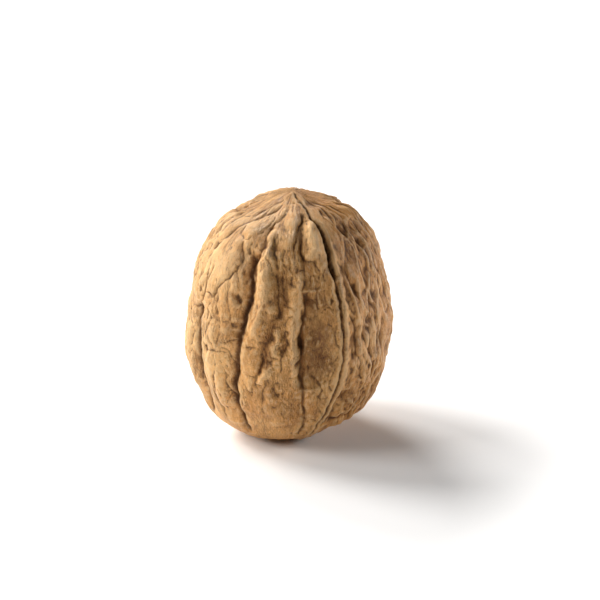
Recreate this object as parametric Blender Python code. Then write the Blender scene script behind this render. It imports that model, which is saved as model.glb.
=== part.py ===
"""A walnut in its unopened shell, standing on the flattened stem end with its point up.

The shell is one solid. It starts as a ball of small triangles, takes the outline of an egg, and gets its relief by
moving each vertex along the body's own normal: the suture with its rim, the furrows, the raised folds and the pits.
Sizes are in millimetres and degrees until the mesh is made, which is in metres. A place on the shell is a pair, the
degrees round from the front and the millimetres up.
"""

import math
import random
from dataclasses import dataclass

import bmesh
import bpy
import numpy as np
from mathutils import Vector, noise

METRES = 0.001

# Driving dimensions of the egg-shaped body, before its relief.
HEIGHT = 41.8
WIDEST_AT = 19.4
RADIUS = 17.15
TOP_POWERS = (2.0, 2.17)
BASE_POWERS = (2.35, 2.33)
LEAN = 1.3

# The small flat that the nut stands on, cut this far up, and the shift that puts the body over the origin.
FLAT_AT = 0.5
SHIFT = (-0.03, 0.14)

# The pointed tip, where the two halves of the shell meet, and how far it is pushed to the right and up.
TIP_RISE = 0.35
TIP_REACH = 2.2
TIP_SHIFT = (0.42, -0.12)

# How far the swelling on each side of a crease reaches, and how far creases waver, widely and finely.
SHOULDER = 1.25
WAVER = (0.34, 0.16)

# The ball that the shell is made from, and how many triangles are left once its flatter stretches are thinned out.
BALL_DIVISIONS = 7
SHELL_TRIANGLES = 11300

# Where the rule-made relief takes over from the traced relief of the front.
TRACED_LEFT = -82.0
TRACED_RIGHT = 84.0
BLEND = 14.0
SEED = Vector((31.7, 12.9, 47.3))
SEED_NUMBER = 11
HIDDEN_FURROWS = (-96, -113, -130, -147, -166, 174, 158, 134, 120, 109)

SHELL_COLOUR = (0.50, 0.30, 0.14, 1.0)
SHELL_ROUGHNESS = 0.62


@dataclass(frozen=True)
class Line:
    """A relief line: its rise (below 0 for a sunk one), how far each side reaches, and the places it passes."""

    rise: float
    left: float
    right: float
    places: tuple


@dataclass(frozen=True)
class Spot:
    """An oval dent or swelling: its place, its half sizes across and along the nut, and its rise."""

    azimuth: float
    height: float
    across: float
    along: float
    rise: float


# The suture, from the tip down the front to the base, and from the tip down the back.
SUTURE_FRONT = (
    (9, 41.7), (20, 41.0), (21.5, 40.3), (22.5, 39.6), (24.2, 39.35), (26.1, 38.9), (27.8, 38.4), (28.5, 37.4),
    (28.3, 36.0), (27.8, 34.6), (28.0, 32.8), (28.7, 30.9), (29.3, 28.6), (29.8, 26.4), (30.3, 24.0), (30.8, 21.5),
    (31.0, 19.7), (30.7, 18.0), (29.9, 16.0), (28.5, 14.2), (27.0, 12.3), (25.8, 10.1), (24.2, 8.6), (23.0, 7.0),
    (22.0, 4.5), (21.0, 2.5), (20.0, 0.6),
)
SUTURE_BACK = (
    (189, 41.7), (200, 41.0), (206, 39.5), (209, 37.0), (208, 33.5), (210, 29.0), (212, 24.0), (212, 19.0),
    (210, 14.5), (206, 10.5), (203, 7.0), (201, 4.0), (200, 0.6),
)
SUTURE_OPEN = ((24.2, 39.35), (27.8, 38.4), (28.5, 37.4), (28.3, 36.0), (27.8, 34.6), (28.0, 32.8), (28.5, 31.5))
SUTURE_CRACK = 0.62
SUTURE_CRACK_REACH = 0.36
SUTURE_RIM = 0.28
SUTURE_RIM_REACH = 1.5

# Broad swellings and hollows that give the nut its uneven outline.
LOBES = (
    Spot(-80, 40.3, 4.2, 3.0, -0.95), Spot(97, 38.6, 3.4, 2.8, 0.60), Spot(-95, 36.5, 6.0, 4.0, 0.60),
    Spot(-93, 31.0, 5.0, 2.6, 0.40), Spot(-92, 25.4, 6.0, 2.6, -0.50), Spot(-33, 37.9, 1.9, 1.3, 0.30),
    Spot(-92, 20.5, 6.0, 2.2, -0.30), Spot(-92, 14.0, 6.0, 3.2, 0.50), Spot(-78, 5.0, 7.5, 3.6, 0.55),
    Spot(-90, 9.6, 5.0, 2.2, -0.35), Spot(-38, 2.5, 8.0, 3.0, 0.55), Spot(100, 36.0, 7.5, 4.5, 0.85),
    Spot(80, 41.4, 4.5, 3.5, -0.40), Spot(95, 26.5, 6.0, 4.0, -0.30), Spot(95, 13.0, 6.0, 4.4, -0.60),
    Spot(74, 2.6, 8.0, 3.0, -1.15), Spot(45, 9.0, 4.0, 3.0, -0.3), Spot(-45, 31.5, 3.6, 5.2, 0.45),
    Spot(150, 12.0, 8.0, 6.0, 0.35), Spot(178, 30.0, 7.0, 6.0, -0.4), Spot(-140, 33.0, 6.0, 6.0, 0.35),
    Spot(-120, 12.0, 6.0, 6.0, -0.35),
)

# Wide valleys and round folds, traced from left to right.
VALLEYS = (
    # The long valley down the left of centre, gentle on its left and steep on its right.
    Line(-0.30, 1.3, 0.8, ((-19, 38.8), (-20.3, 37.6), (-20, 36.2), (-22.6, 34.7), (-24.2, 33.0))),
    Line(-1.10, 2.3, 0.9, (
        (-23.1, 35.2), (-25.9, 33.5), (-24.6, 31), (-24, 28.8), (-25.5, 26.6), (-27, 23.5), (-28.6, 21),
        (-29.5, 18.1), (-31, 14.8), (-32.5, 11.5), (-33, 9.5), (-31, 5.5),
    )),
    # The sunk strip right of the centre line.
    Line(-0.95, 0.5, 3.0, (
        (8.8, 30.0), (9, 27.6), (7.5, 24.5), (6.4, 22.3), (7.0, 20.0), (7.2, 17.0), (8.8, 13.6),
    )),
    # The valley along the left side, between the outer lobe and the middle one.
    Line(-0.90, 1.2, 1.8, (
        (-61.3, 25.5), (-63, 22.8), (-62.5, 19), (-62, 16), (-61.1, 12), (-60.5, 10.7), (-62.5, 8.3), (-66.5, 5.5),
    )),
    # The fold between the tip and the long valley, and the ones beside it.
    Line(0.45, 0.8, 0.8, ((-17.0, 38.5), (-16.8, 37.0), (-16.4, 35.6), (-16.2, 34.0))),
    Line(0.85, 1.6, 1.9, ((-15.8, 35.8), (-16.0, 33.5), (-15.8, 31.5), (-14.7, 28.5), (-16.7, 25.0), (-20, 22.0))),
    Line(1.00, 1.0, 1.0, ((19.0, 39.3), (18.5, 37.6), (18.0, 36.0), (15.6, 34.4))),
    Line(0.45, 1.2, 1.0, ((2, 41.2), (2, 39.6), (2.2, 38.4), (0.8, 37.2), (-0.8, 35.8))),
    Line(0.60, 1.1, 0.9, ((6.0, 33.0), (5.6, 30.0), (4.4, 27.8), (3.0, 25.5), (3.6, 22.5), (4.0, 19.5), (4.3, 16.0))),
    Line(0.95, 0.7, 0.65, ((-5.8, 24.3), (-5.5, 23.0), (-6, 22.0), (-7.4, 21.2), (-7.2, 20.2), (-6.8, 19.6))),
    Line(0.85, 0.6, 0.65, ((-8, 17.9), (-10, 17.1), (-12.3, 16.3), (-14.3, 15.6), (-15.7, 14.6))),
    Line(0.45, 0.6, 0.6, ((-20.5, 15.8), (-20.3, 14.6), (-21.5, 13.2))),
    Line(-0.55, 1.5, 1.7, (
        (-3, 34.0), (-2.0, 30.0), (-4.0, 27.0), (-8.5, 24.5), (-10.5, 22.0), (-12, 19.0), (-11, 17.6),
    )),
    Line(0.45, 2.2, 2.2, ((-43, 24.0), (-43.5, 21.0), (-42, 16.5), (-41.5, 12.0), (-42, 8.0))),
    Line(0.35, 2.0, 2.0, ((-14, 13.0), (-8, 9.0), (-4, 6.0))),
    Line(0.40, 1.6, 1.6, ((-67, 30.0), (-67, 27.5), (-66, 25.8))),
    Line(0.35, 1.5, 1.5, ((-68, 21.0), (-68, 17.0), (-69, 13.0), (-71, 9.0))),
    # The smooth rim right of the suture, and the groove that marks its far edge.
    Line(0.22, 0.9, 0.9, ((32, 37), (32.2, 32), (32.6, 27), (33.2, 22), (33.4, 18), (32.2, 14.6), (29.9, 11.8))),
    Line(-0.32, 0.6, 1.4, ((35.6, 37), (35.6, 32), (35.6, 27), (36, 21.5), (35.4, 15.2), (33.0, 12.5), (31.0, 10.8))),
    Line(-0.65, 0.45, 1.6, ((33.4, 13.0), (31.2, 10.8), (29.4, 8.9), (28, 7.2), (26.5, 5.5))),
    Line(-0.55, 1.0, 1.3, ((47, 38.9), (50.5, 38.3), (53, 37.8), (56, 37.2), (58.5, 36.2), (60, 35.4), (62, 34.4))),
    Line(-0.35, 0.9, 0.9, ((67, 38.2), (70, 37), (72, 36))),
    Line(0.40, 0.8, 0.8, ((56, 5.6), (48, 5.0), (40, 4.7), (33, 4.8))),
    Line(-0.45, 0.6, 0.6, ((54, 7.4), (47, 6.6), (40, 6.3), (34, 6.1), (30, 6.3))),
    Line(-0.40, 0.9, 1.2, ((24, 41.2), (36, 41.1), (50, 41.2), (62, 41.0))),
)

# Crisp creases, with smooth pillows between them, traced from the tip down and from left to right.
CREASES = (
    Line(-0.60, 0.40, 0.32, (
        (-5, 41), (-8.6, 40.2), (-11.6, 39.8), (-14.5, 39.4), (-17.4, 39.3), (-19, 38.8), (-20.3, 38.1), (-20.2, 37.2),
        (-20, 36.2), (-21.3, 35.4), (-22.6, 34.7), (-24.3, 33.8), (-24, 33.2), (-23, 31.8), (-22.3, 30.5),
    )),
    Line(-1.00, 0.50, 0.38, (
        (-23.5, 34.7), (-25.8, 33.8), (-25.9, 33.2), (-25, 31.8), (-24.3, 30.5), (-23.9, 29), (-24.3, 28),
        (-25.2, 27), (-25.9, 25), (-27, 23.5), (-28.5, 21.6), (-28.7, 19.9), (-29.5, 18.1), (-30.4, 16),
        (-31.5, 13.6), (-32.2, 12.4), (-33, 10), (-32.5, 8), (-31, 5.5), (-30, 3.5),
    )),
    Line(-0.30, 0.32, 0.5, (
        (8.3, 36), (9.3, 34.5), (8.8, 33), (8.4, 31.2), (8, 29.4), (8.7, 27.6), (9.6, 26.8), (8.5, 25.8), (7.6, 25),
    )),
    Line(-0.60, 0.32, 0.5, (
        (8.7, 27.8), (9.6, 26.8), (8.5, 25.8), (7.6, 25),
        (6.8, 23.2), (6, 22.3), (7, 21.3), (7.3, 20.3), (6.6, 18.6), (7.1, 17), (7.9, 14.8), (8.8, 13.6),
    )),
    Line(-0.85, 0.34, 0.42, (
        (7.1, 17), (7.9, 14.8), (8.8, 13.6), (9.2, 12.4), (9.5, 11.1), (10, 10.1), (11.3, 9.1), (11.3, 7.8),
        (11.3, 6.6), (11, 5.5), (10, 4.0),
    )),
    Line(-0.42, 0.5, 0.6, (
        (-14, 37.5), (-12.4, 36.3), (-11.5, 35.4), (-10.5, 34.8), (-9, 33.9), (-7.8, 33), (-7.5, 31.6), (-6.6, 30),
        (-6.2, 28), (-5.4, 27), (-5.2, 25.8),
    )),
    Line(-0.60, 0.45, 0.45, (
        (-20, 41.2), (-27, 40.65), (-35, 40.1), (-40.3, 39.6), (-44.4, 39), (-49.9, 38.5), (-54, 37.8), (-58, 36.3),
        (-60, 35.2), (-63, 34.4), (-66, 33.6),
    )),
    Line(-0.60, 0.4, 0.4, ((-49.9, 38.4), (-45.3, 37.6), (-45, 37), (-42, 36.6), (-41, 36.2))),
    Line(-0.45, 0.35, 0.35, (
        (-41, 36.4), (-35.3, 36.6), (-32.2, 37), (-29.8, 37.3), (-27.1, 37.7), (-26, 38), (-25.5, 38.5),
        (-23.6, 38.95), (-22.5, 39.45), (-21.4, 39.75), (-18, 39.5),
    )),
    Line(-0.50, 0.45, 0.45, (
        (-30, 41.5), (-38, 41.4), (-43, 41.1), (-47, 40.7), (-51.4, 40), (-58.7, 39.3), (-65, 39.2),
    )),
    Line(-0.35, 0.3, 0.3, ((-78, 39.3), (-72, 38.9), (-68, 38.2))),
    Line(-0.30, 0.3, 0.3, ((-73, 33.6), (-73.5, 32.6))),
    Line(-0.50, 0.4, 0.4, ((-56, 32.6), (-55, 32), (-55.3, 31), (-56, 30), (-57.2, 28.6), (-57, 27.2))),
    Line(-0.55, 0.4, 0.4, (
        (-61, 32.5), (-60.5, 31.5), (-60, 30.1), (-59, 29), (-57.8, 28), (-57, 27.2), (-59, 26.3), (-60.3, 25.7),
        (-63, 25), (-67, 24.3), (-71, 23.6), (-76, 22.6),
    )),
    Line(-0.60, 0.32, 0.45, (
        (-41, 36.4), (-38, 35.2), (-35.2, 33.4), (-36, 32.8), (-37.5, 31.9), (-39, 31.1), (-41.5, 30.15), (-45, 29.1),
        (-47, 28.6), (-48, 27.6), (-50, 27.2), (-53, 27.5), (-56.5, 27.2),
    )),
    Line(-0.40, 0.3, 0.3, ((-48.8, 30.2), (-47.8, 29.0))),
    Line(-0.75, 0.4, 0.5, (
        (-60.1, 26), (-63, 24.5), (-63, 22.8), (-63, 21), (-62.5, 18), (-62, 16), (-61.5, 14), (-61, 12),
        (-60.5, 10.7), (-62.5, 8.3), (-65.5, 6), (-68.5, 4),
    )),
    Line(-0.40, 0.35, 0.35, ((-46.5, 14), (-45, 13), (-46, 11.5), (-47.5, 10), (-46.5, 8), (-45, 6))),
    Line(-0.45, 0.35, 0.35, ((-51.5, 18.0), (-46, 18.4), (-43, 18.7), (-38.5, 18.9), (-35, 18.6))),
    Line(-0.32, 0.3, 0.3, ((-36, 18.2), (-36.5, 17), (-36, 16), (-35.5, 15.3))),
    Line(-0.40, 0.35, 0.35, ((-41, 15), (-39, 15), (-36.5, 14.8), (-34.5, 14.4), (-31.5, 13.2))),
    Line(-0.40, 0.35, 0.35, ((-38, 20.3), (-35, 20.9), (-31, 21.1), (-28, 21), (-26.4, 20.4))),
    Line(-0.32, 0.3, 0.3, ((-45.5, 26.2), (-44, 25.3), (-43.5, 24.8))),
    Line(-0.45, 0.4, 0.4, ((-31, 34), (-28.5, 33.5), (-25.7, 32.9), (-24.3, 32.4))),
    Line(-0.45, 0.4, 0.4, ((-30, 36.6), (-30.4, 36), (-31.7, 35.2), (-32.5, 34.4))),
    Line(-0.35, 0.35, 0.35, ((-27, 36.9), (-27.5, 36), (-28, 34.8))),
    Line(-0.30, 0.3, 0.3, ((-20.8, 26.6), (-18.5, 27.2), (-15.5, 27.3))),
    Line(-0.30, 0.3, 0.3, ((-24.5, 20.4), (-21.5, 20.8), (-17.5, 20.8))),
    Line(-0.60, 0.35, 0.45, (
        (14.5, 40.2), (9.6, 39.35), (6.8, 38.8), (5.2, 38.2), (4.3, 37.5), (3.8, 36.7), (3.5, 35.6),
    )),
    Line(-0.45, 0.35, 0.35, ((8.4, 37.9), (7.8, 36.6), (8.3, 35.6), (10.0, 34.6), (12.6, 33.6))),
    Line(-0.35, 0.3, 0.3, ((0.5, 32.5), (1.2, 31.7), (2, 31.1), (4, 30.4), (6.5, 30.1))),
    Line(-0.40, 0.4, 0.4, ((-1.5, 23.3), (0, 22.1), (1.5, 21.3), (2, 20.2))),
    Line(-0.35, 0.35, 0.35, ((11.5, 7.8), (14, 7.6), (17, 7.5), (20.5, 7.3), (23, 7.4))),
    Line(-0.40, 0.35, 0.35, (
        (10.6, 18), (12, 17.3), (14.8, 15.8), (17.7, 15), (19, 14.2), (19.5, 13.3), (19, 12.8), (18.5, 12.3),
        (20.5, 11.9), (23, 11.8),
    )),
    Line(-0.35, 0.3, 0.3, ((52, 11.9), (49.5, 11.6), (47, 11.6), (42, 11.0))),
)

# Pits and hollows of the front.
SPOTS = (
    Spot(6.6, 21.9, 0.7, 1.5, -0.95), Spot(-32.6, 28.3, 0.4, 0.5, -0.40), Spot(-30.4, 27.6, 0.35, 0.5, -0.35),
    Spot(-37, 23.8, 0.6, 0.7, -0.3), Spot(-32.8, 23.6, 0.6, 0.8, -0.3), Spot(-51.2, 18.6, 0.6, 0.7, -0.35),
    Spot(-14.5, 17, 0.6, 0.6, -0.3), Spot(-5, 14.6, 1.0, 1.0, -0.3), Spot(-13, 11.7, 0.8, 0.8, -0.22),
    Spot(-7.7, 10.6, 0.8, 0.8, -0.18), Spot(-5.5, 12.7, 0.7, 0.7, -0.2), Spot(-10, 8.1, 0.8, 0.7, -0.15),
    Spot(-8.5, 38.7, 1.0, 0.9, -0.14), Spot(-3.5, 38.3, 0.9, 0.8, -0.18), Spot(2, 31.1, 0.5, 0.8, -0.15),
    Spot(18, 20.0, 2.2, 4.4, -0.75), Spot(16, 25.8, 1.8, 2.4, -0.25), Spot(42.8, 29.3, 0.6, 1.4, -0.45),
    Spot(50, 28.5, 0.7, 0.9, -0.4), Spot(57, 26.8, 1.5, 1.9, -0.65), Spot(57, 31.3, 0.8, 0.9, -0.4),
    Spot(68, 27.2, 0.8, 1.2, -0.4), Spot(49, 23.2, 1.3, 1.6, -0.65), Spot(61, 19.7, 1.3, 1.8, -0.65),
    Spot(39, 21.5, 0.9, 1.5, -0.45), Spot(44, 21.6, 0.7, 0.9, -0.35), Spot(52, 18.6, 0.8, 1.1, -0.4),
    Spot(56, 15.6, 0.8, 1.7, -0.5), Spot(42, 14.2, 1.0, 0.9, -0.35), Spot(39, 18.6, 0.7, 0.9, -0.35),
    Spot(38, 11.3, 0.9, 1.3, -0.5), Spot(46, 33.5, 0.9, 2.0, -0.3), Spot(66, 22.5, 0.9, 1.6, -0.4),
    Spot(70, 17.0, 0.9, 1.6, -0.35),
)

# Smooth places that crumple less, by how much: the oval plates of the upper left, the drop right of the tip, the wedge
# left of it and the sunk strip.
CALM = (
    Spot(-47, 32.5, 3.6, 4.6, 0.95), Spot(-33, 37.9, 3.0, 2.2, 0.95), Spot(18.5, 36.4, 1.3, 2.6, 0.85),
    Spot(2, 39.2, 2.0, 2.2, 0.85), Spot(-4, 36.4, 2.4, 2.4, 0.6), Spot(-4, 30.5, 2.6, 5.0, 0.55),
    Spot(-8, 8.0, 5.0, 5.5, 0.75), Spot(18, 21.0, 3.2, 7.0, 0.65), Spot(-14.0, 30.0, 1.6, 5.0, 0.45),
    Spot(-68, 30.0, 2.6, 3.0, 0.6), Spot(-52, 38.6, 3.0, 1.5, 0.4), Spot(16, 9.5, 3.4, 3.0, 0.6),
)


def body_radius(height):
    """The radius of the plain body at a height."""
    above = height >= WIDEST_AT
    share = np.abs(height - WIDEST_AT) / np.where(above, HEIGHT - WIDEST_AT, WIDEST_AT)
    first = np.where(above, TOP_POWERS[0], BASE_POWERS[0])
    second = np.where(above, TOP_POWERS[1], BASE_POWERS[1])
    return RADIUS * np.clip(1 - np.clip(share, 0, 1) ** first, 0, 1) ** (1 / second)


def body_point(azimuth, height):
    """The place on the plain body at degrees round from the front and millimetres up."""
    angle = np.radians(azimuth)
    radius = body_radius(height)
    return np.stack([radius * np.sin(angle), -radius * np.cos(angle), height], -1)


def body_outline(steps=4000):
    """Heights, radii and lengths along the outline from the base up to the tip, close together near both ends."""
    turn = np.linspace(0, math.pi, steps)
    height = HEIGHT * (1 - np.cos(turn)) / 2
    radius = body_radius(height)
    step = np.hypot(np.diff(height), np.diff(radius))
    return height, radius, np.concatenate([[0], np.cumsum(step)])


def body_frame(directions):
    """The azimuth, height, place, outward normal and grain on the plain body for each direction of the ball.

    The grain is the same point laid on a straight tube, so that a pattern on it runs together at the tip and the base.
    """
    outline_height, outline_radius, length = body_outline()
    azimuth = np.degrees(np.arctan2(directions[:, 0], -directions[:, 1]))
    share = np.arccos(np.clip(-directions[:, 2], -1, 1)) / math.pi
    along = share * length[-1]
    height = np.interp(along, length, outline_height)
    place = body_point(azimuth, height)
    rise = np.interp(along, length, np.gradient(outline_height, length))
    widening = np.interp(along, length, np.gradient(outline_radius, length))
    angle = np.radians(azimuth)
    normal = np.stack([rise * np.sin(angle), -rise * np.cos(angle), -widening], -1)
    grain = np.stack([RADIUS * np.sin(angle), -RADIUS * np.cos(angle), along], -1)
    return azimuth, height, place, normal / np.linalg.norm(normal, axis=1)[:, None], grain


def smooth_noise(seed, points):
    """A smooth random field read at many points, mostly between -1 and 1, which changes over about 1."""
    chance = np.random.default_rng(seed)
    order = chance.permutation(256)
    slopes = chance.normal(size=(256, 3))
    slopes /= np.linalg.norm(slopes, axis=1)[:, None]
    cell = np.floor(points).astype(int)
    part = points - cell
    ease = part**3 * (part * (part * 6 - 15) + 10)
    total = np.zeros(len(points))
    for corner in np.ndindex(2, 2, 2):
        x, y, z = ((cell + corner) & 255).T
        slope = slopes[order[(order[(order[x] + y) & 255] + z) & 255]]
        weight = np.where(corner, ease, 1 - ease).prod(axis=1)
        total += weight * (slope * (part - corner)).sum(axis=1)
    return total * 1.6


def noise_bend(seed, points):
    """Three such fields side by side, to move points with."""
    return np.stack([smooth_noise(seed + number, points) for number in (1, 2, 3)], -1)


def smooth_line(places, steps=5):
    """A soft curve through the places, as points on the plain body."""
    ends = np.array(places, float)
    padded = np.vstack([2 * ends[0] - ends[1], ends, 2 * ends[-1] - ends[-2]])
    share = np.linspace(0, 1, steps, endpoint=False)[:, None]
    pieces = []
    for before, start, end, after in zip(padded, padded[1:], padded[2:], padded[3:]):
        pieces.append(0.5 * (
            2 * start + (end - before) * share + (2 * before - 5 * start + 4 * end - after) * share**2
            + (3 * start - before - 3 * end + after) * share**3
        ))
    pieces.append(ends[-1:])
    curve = np.vstack(pieces)
    return body_point(curve[:, 0], np.clip(curve[:, 1], 0.05, HEIGHT - 0.02))


def line_distance(line_points, place, normal, reach):
    """For the vertices near a line: their numbers, distances, share along it, and side, positive to its right."""
    low, high = line_points.min(axis=0) - reach, line_points.max(axis=0) + reach
    near = np.flatnonzero(((place > low) & (place < high)).all(axis=1))
    start, step = line_points[:-1], np.diff(line_points, axis=0)
    square = np.maximum((step**2).sum(axis=1), 1e-12)
    offset = place[near, None] - start[None]
    share = np.clip((offset * step).sum(axis=2) / square, 0, 1)
    offset = offset - share[..., None] * step
    distance = np.sqrt((offset**2).sum(axis=2))
    best = distance.argmin(axis=1)
    rows = np.arange(len(near))
    away = offset[rows, best]
    side = (np.cross(step[best], away) * normal[near]).sum(axis=1)
    return near, distance[rows, best], (best + share[rows, best]) / len(step), np.sign(side)


def end_fade(share, length, broad):
    """A factor that falls to 0 over the last 1.5 mm at each end of a line, and softly over 2.6 mm for a broad fold."""
    reach = min(0.5, (2.6 if broad else 1.5) / max(length, 0.1))
    fade = np.clip(np.minimum(share, 1 - share) / reach, 0, 1) ** 0.6
    return soft_step(fade, 0.0, 1.0) if broad else fade


def line_relief(line, place, normal, sharp=False, rough=None):
    """The rise of one line at every vertex: a crease is sharp between swollen shoulders, a fold or a valley is round.

    The shoulders swell less where the shell is calm.
    """
    points = smooth_line(line.places)
    length = np.linalg.norm(np.diff(points, axis=0), axis=1).sum()
    widest = max(line.left, line.right) * (5 if sharp else 2.6)
    near, distance, share, side = line_distance(points, place, normal, max(widest, 2.4 * SHOULDER * sharp))
    reach = np.where(side > 0, line.right, line.left)
    form = np.exp(-((distance / reach) ** 2))
    if sharp:
        form = 0.60 * np.exp(-distance / reach) + 0.42 * rough[near] * np.exp(-((distance / SHOULDER) ** 2))
    broad = not sharp and line.rise > 0 and min(line.left, line.right) >= 1.2
    found = np.zeros(len(place))
    found[near] = line.rise * form * end_fade(share, length, broad)
    return found


def spot_relief(spot, place):
    """The rise of one oval spot at every vertex."""
    angle = math.radians(spot.azimuth)
    middle = body_point(spot.azimuth, np.array(spot.height))
    above, below = body_point(spot.azimuth, np.array([spot.height + 0.05, spot.height - 0.05]))
    upward = (above - below) / np.linalg.norm(above - below)
    sideways = np.array([math.cos(angle), math.sin(angle), 0.0])
    offset = place - middle
    along, across = offset @ upward, offset @ sideways
    depth = offset - along[:, None] * upward - across[:, None] * sideways
    square = (along / spot.along) ** 2 + (across / spot.across) ** 2
    return spot.rise * np.exp(-square - ((depth**2).sum(axis=1) / (spot.across + spot.along) ** 2))


def soft_step(value, low, high):
    """0 below low, 1 above high, and a soft climb between."""
    share = np.clip((value - low) / (high - low), 0, 1)
    return share * share * (3 - 2 * share)


def roughness(place):
    """How far the shell crumples at every vertex: 1, or less on its smooth plates."""
    found = np.ones(len(place))
    for spot in CALM:
        found *= 1 - spot_relief(spot, place)
    return found


def crumpled(height, place, grain, bent, normal, rough):
    """The small swollen folds between the creases, drawn out along the nut, weaker where the shell is smooth."""
    moved = grain + noise_bend(41, place / 3.1) * 0.8
    folds = np.abs(smooth_noise(51, moved / (2.8, 2.8, 8.0))) ** 0.75
    small = np.abs(smooth_noise(61, moved / (1.35, 1.35, 2.8))) ** 0.75
    patch = soft_step(smooth_noise(81, place / 6.0), -0.3, 0.4)
    smooth = 1 - 0.75 * soft_step(-height, -11.0, -5.0)
    near, distance, _, side = line_distance(smooth_line(SUTURE_FRONT), bent, normal, 3.0)
    right = 0.3 + 0.7 * soft_step(distance, 1.2, 2.4)
    smooth[near] *= np.where(side > 0, right, 0.5 + 0.5 * soft_step(distance, 0, 1.5))
    smooth *= rough * np.clip(np.linalg.norm(place[:, :2], axis=1) / 11.0, 0.3, 1)
    total = 0.46 * (folds - 0.33) + (0.10 + 0.17 * patch) * (small - 0.33)
    return total * smooth * soft_step(height, 0.2, 2.5)


def rule_relief(azimuth, height, place, grain):
    """The relief that a rule makes: long creases and a net of pits, for the sides with no traced lines."""
    hidden = np.maximum(soft_step(-azimuth, -TRACED_LEFT, -TRACED_LEFT + BLEND),
                        soft_step(azimuth, TRACED_RIGHT, TRACED_RIGHT + BLEND))
    right = np.maximum(soft_step(azimuth, 34, 42), soft_step(-azimuth, 150, 165))
    found = np.zeros(len(place))
    for number, point in enumerate(place):
        here = Vector(point)
        bend = noise.noise_vector(here / 5.0 + SEED)
        stretched = Vector((here.x / 5.4, here.y / 5.4, here.z / 12.0)) + bend * 0.32
        total = 0.15 * noise.noise(here / 3.6 + SEED) + 0.07 * noise.noise(here / 1.5 + SEED)
        if hidden[number] > 0:
            first, second = noise.voronoi(stretched + SEED)[0][:2]
            total -= hidden[number] * 0.42 * math.exp(-(second - first) / 0.11)
            total += hidden[number] * 0.30 * noise.noise(Vector((here.x / 4, here.y / 4, here.z / 11)) - SEED)
        if right[number] > 0:
            stringy = Vector(grain[number] / (2.5, 2.5, 6.4)) + bend * 0.5
            first, second = noise.voronoi(stringy + SEED * 2)[0][:2]
            total += right[number] * (0.34 * math.exp(-(((second - first) / 0.26) ** 2)) - 0.12)
        found[number] = total
    return found * soft_step(height, 0.2, 2.5) * soft_step(-height, -HEIGHT + 0.1, -HEIGHT + 1.6)


def rule_lines():
    """Long furrows with side branches for the sides with no traced lines: wide valleys, and creases in them."""
    chance = random.Random(SEED_NUMBER)
    valleys, creases = [], []
    for azimuth in HIDDEN_FURROWS:
        height, wander, places = 41.0 - chance.uniform(0, 2.5), 0.0, []
        lowest = chance.uniform(2.5, 6.0)
        while height > lowest:
            places.append((azimuth, height))
            wander = 0.55 * wander + chance.uniform(-2.6, 2.6)
            azimuth += wander
            height -= chance.uniform(1.5, 2.6)
        depth = chance.uniform(0.45, 0.95)
        valleys.append(Line(-0.7 * depth, chance.uniform(0.9, 2.2), chance.uniform(0.9, 2.2), tuple(places)))
        creases.append(Line(-depth, 0.5, 0.5, tuple(places)))
        for start in places[2:-1]:
            if chance.random() < 0.5:
                way = chance.choice((-1, 1))
                middle = (start[0] + way * chance.uniform(2.5, 4.5), start[1] - chance.uniform(0.2, 2.2))
                end = (middle[0] + way * chance.uniform(1.5, 4.5), middle[1] - chance.uniform(-0.6, 2.4))
                if end[1] > 2:
                    creases.append(Line(-0.55 * depth, 0.4, 0.4, (start, middle, end)))
    return valleys, creases


def suture_relief(place, normal):
    """The crack between the two halves, with the rim that both halves raise along it."""
    found = np.zeros(len(place))
    for places in (SUTURE_FRONT, SUTURE_BACK):
        points = smooth_line(places)
        near, distance, _, side = line_distance(points, place, normal, 5.0)
        found[near] += SUTURE_RIM * np.exp(-((distance / SUTURE_RIM_REACH) ** 2))
        found[near] -= SUTURE_CRACK * np.exp(-distance / SUTURE_CRACK_REACH)
        found[near] += 0.16 * np.exp(-(((distance - 0.75) / 0.4) ** 2)) * (side < 0)
    wide = Line(-0.55, 0.5, 0.5, SUTURE_OPEN)
    return found + line_relief(wide, place, normal)


def shell_relief(azimuth, height, place, normal, grain):
    """The total rise of every vertex over the plain body."""
    bent = place + noise_bend(SEED_NUMBER, place / 2.4) * WAVER[0] + noise_bend(SEED_NUMBER + 10, place / 0.9) * WAVER[1]
    rough = roughness(place)
    total = rule_relief(azimuth, height, place, grain) + crumpled(height, place, grain, bent, normal, rough)
    total += suture_relief(bent, normal)
    for spot in LOBES + SPOTS:
        total += spot_relief(spot, place)
    rule_valleys, rule_creases = rule_lines()
    for line in VALLEYS + tuple(rule_valleys):
        total += line_relief(line, bent, normal)
    deepest = np.zeros(len(place))
    for line in CREASES + tuple(rule_creases):
        deepest = np.minimum(deepest, line_relief(line, bent, normal, True, rough))
    tip = np.linalg.norm(place[:, :2], axis=1)
    total += TIP_RISE * np.exp(-((tip / TIP_REACH) ** 2)) * (height > WIDEST_AT)
    return total + deepest


def stand(place):
    """Tilts the body by its lean, and moves it so that its flat is at height 0 over the origin."""
    angle = math.radians(LEAN)
    tip = soft_step(place[:, 2], 37.0, HEIGHT)
    across, up = place[:, 0] + TIP_SHIFT[0] * tip, place[:, 2] + TIP_SHIFT[1] * tip - WIDEST_AT
    return np.stack([
        across * math.cos(angle) + up * math.sin(angle) + SHIFT[0],
        place[:, 1] + SHIFT[1],
        WIDEST_AT - across * math.sin(angle) + up * math.cos(angle) - FLAT_AT,
    ], -1)


def clear_scene():
    """Removes every object that the scene holds."""
    for thing in list(bpy.data.objects):
        bpy.data.objects.remove(thing, do_unlink=True)


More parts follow.
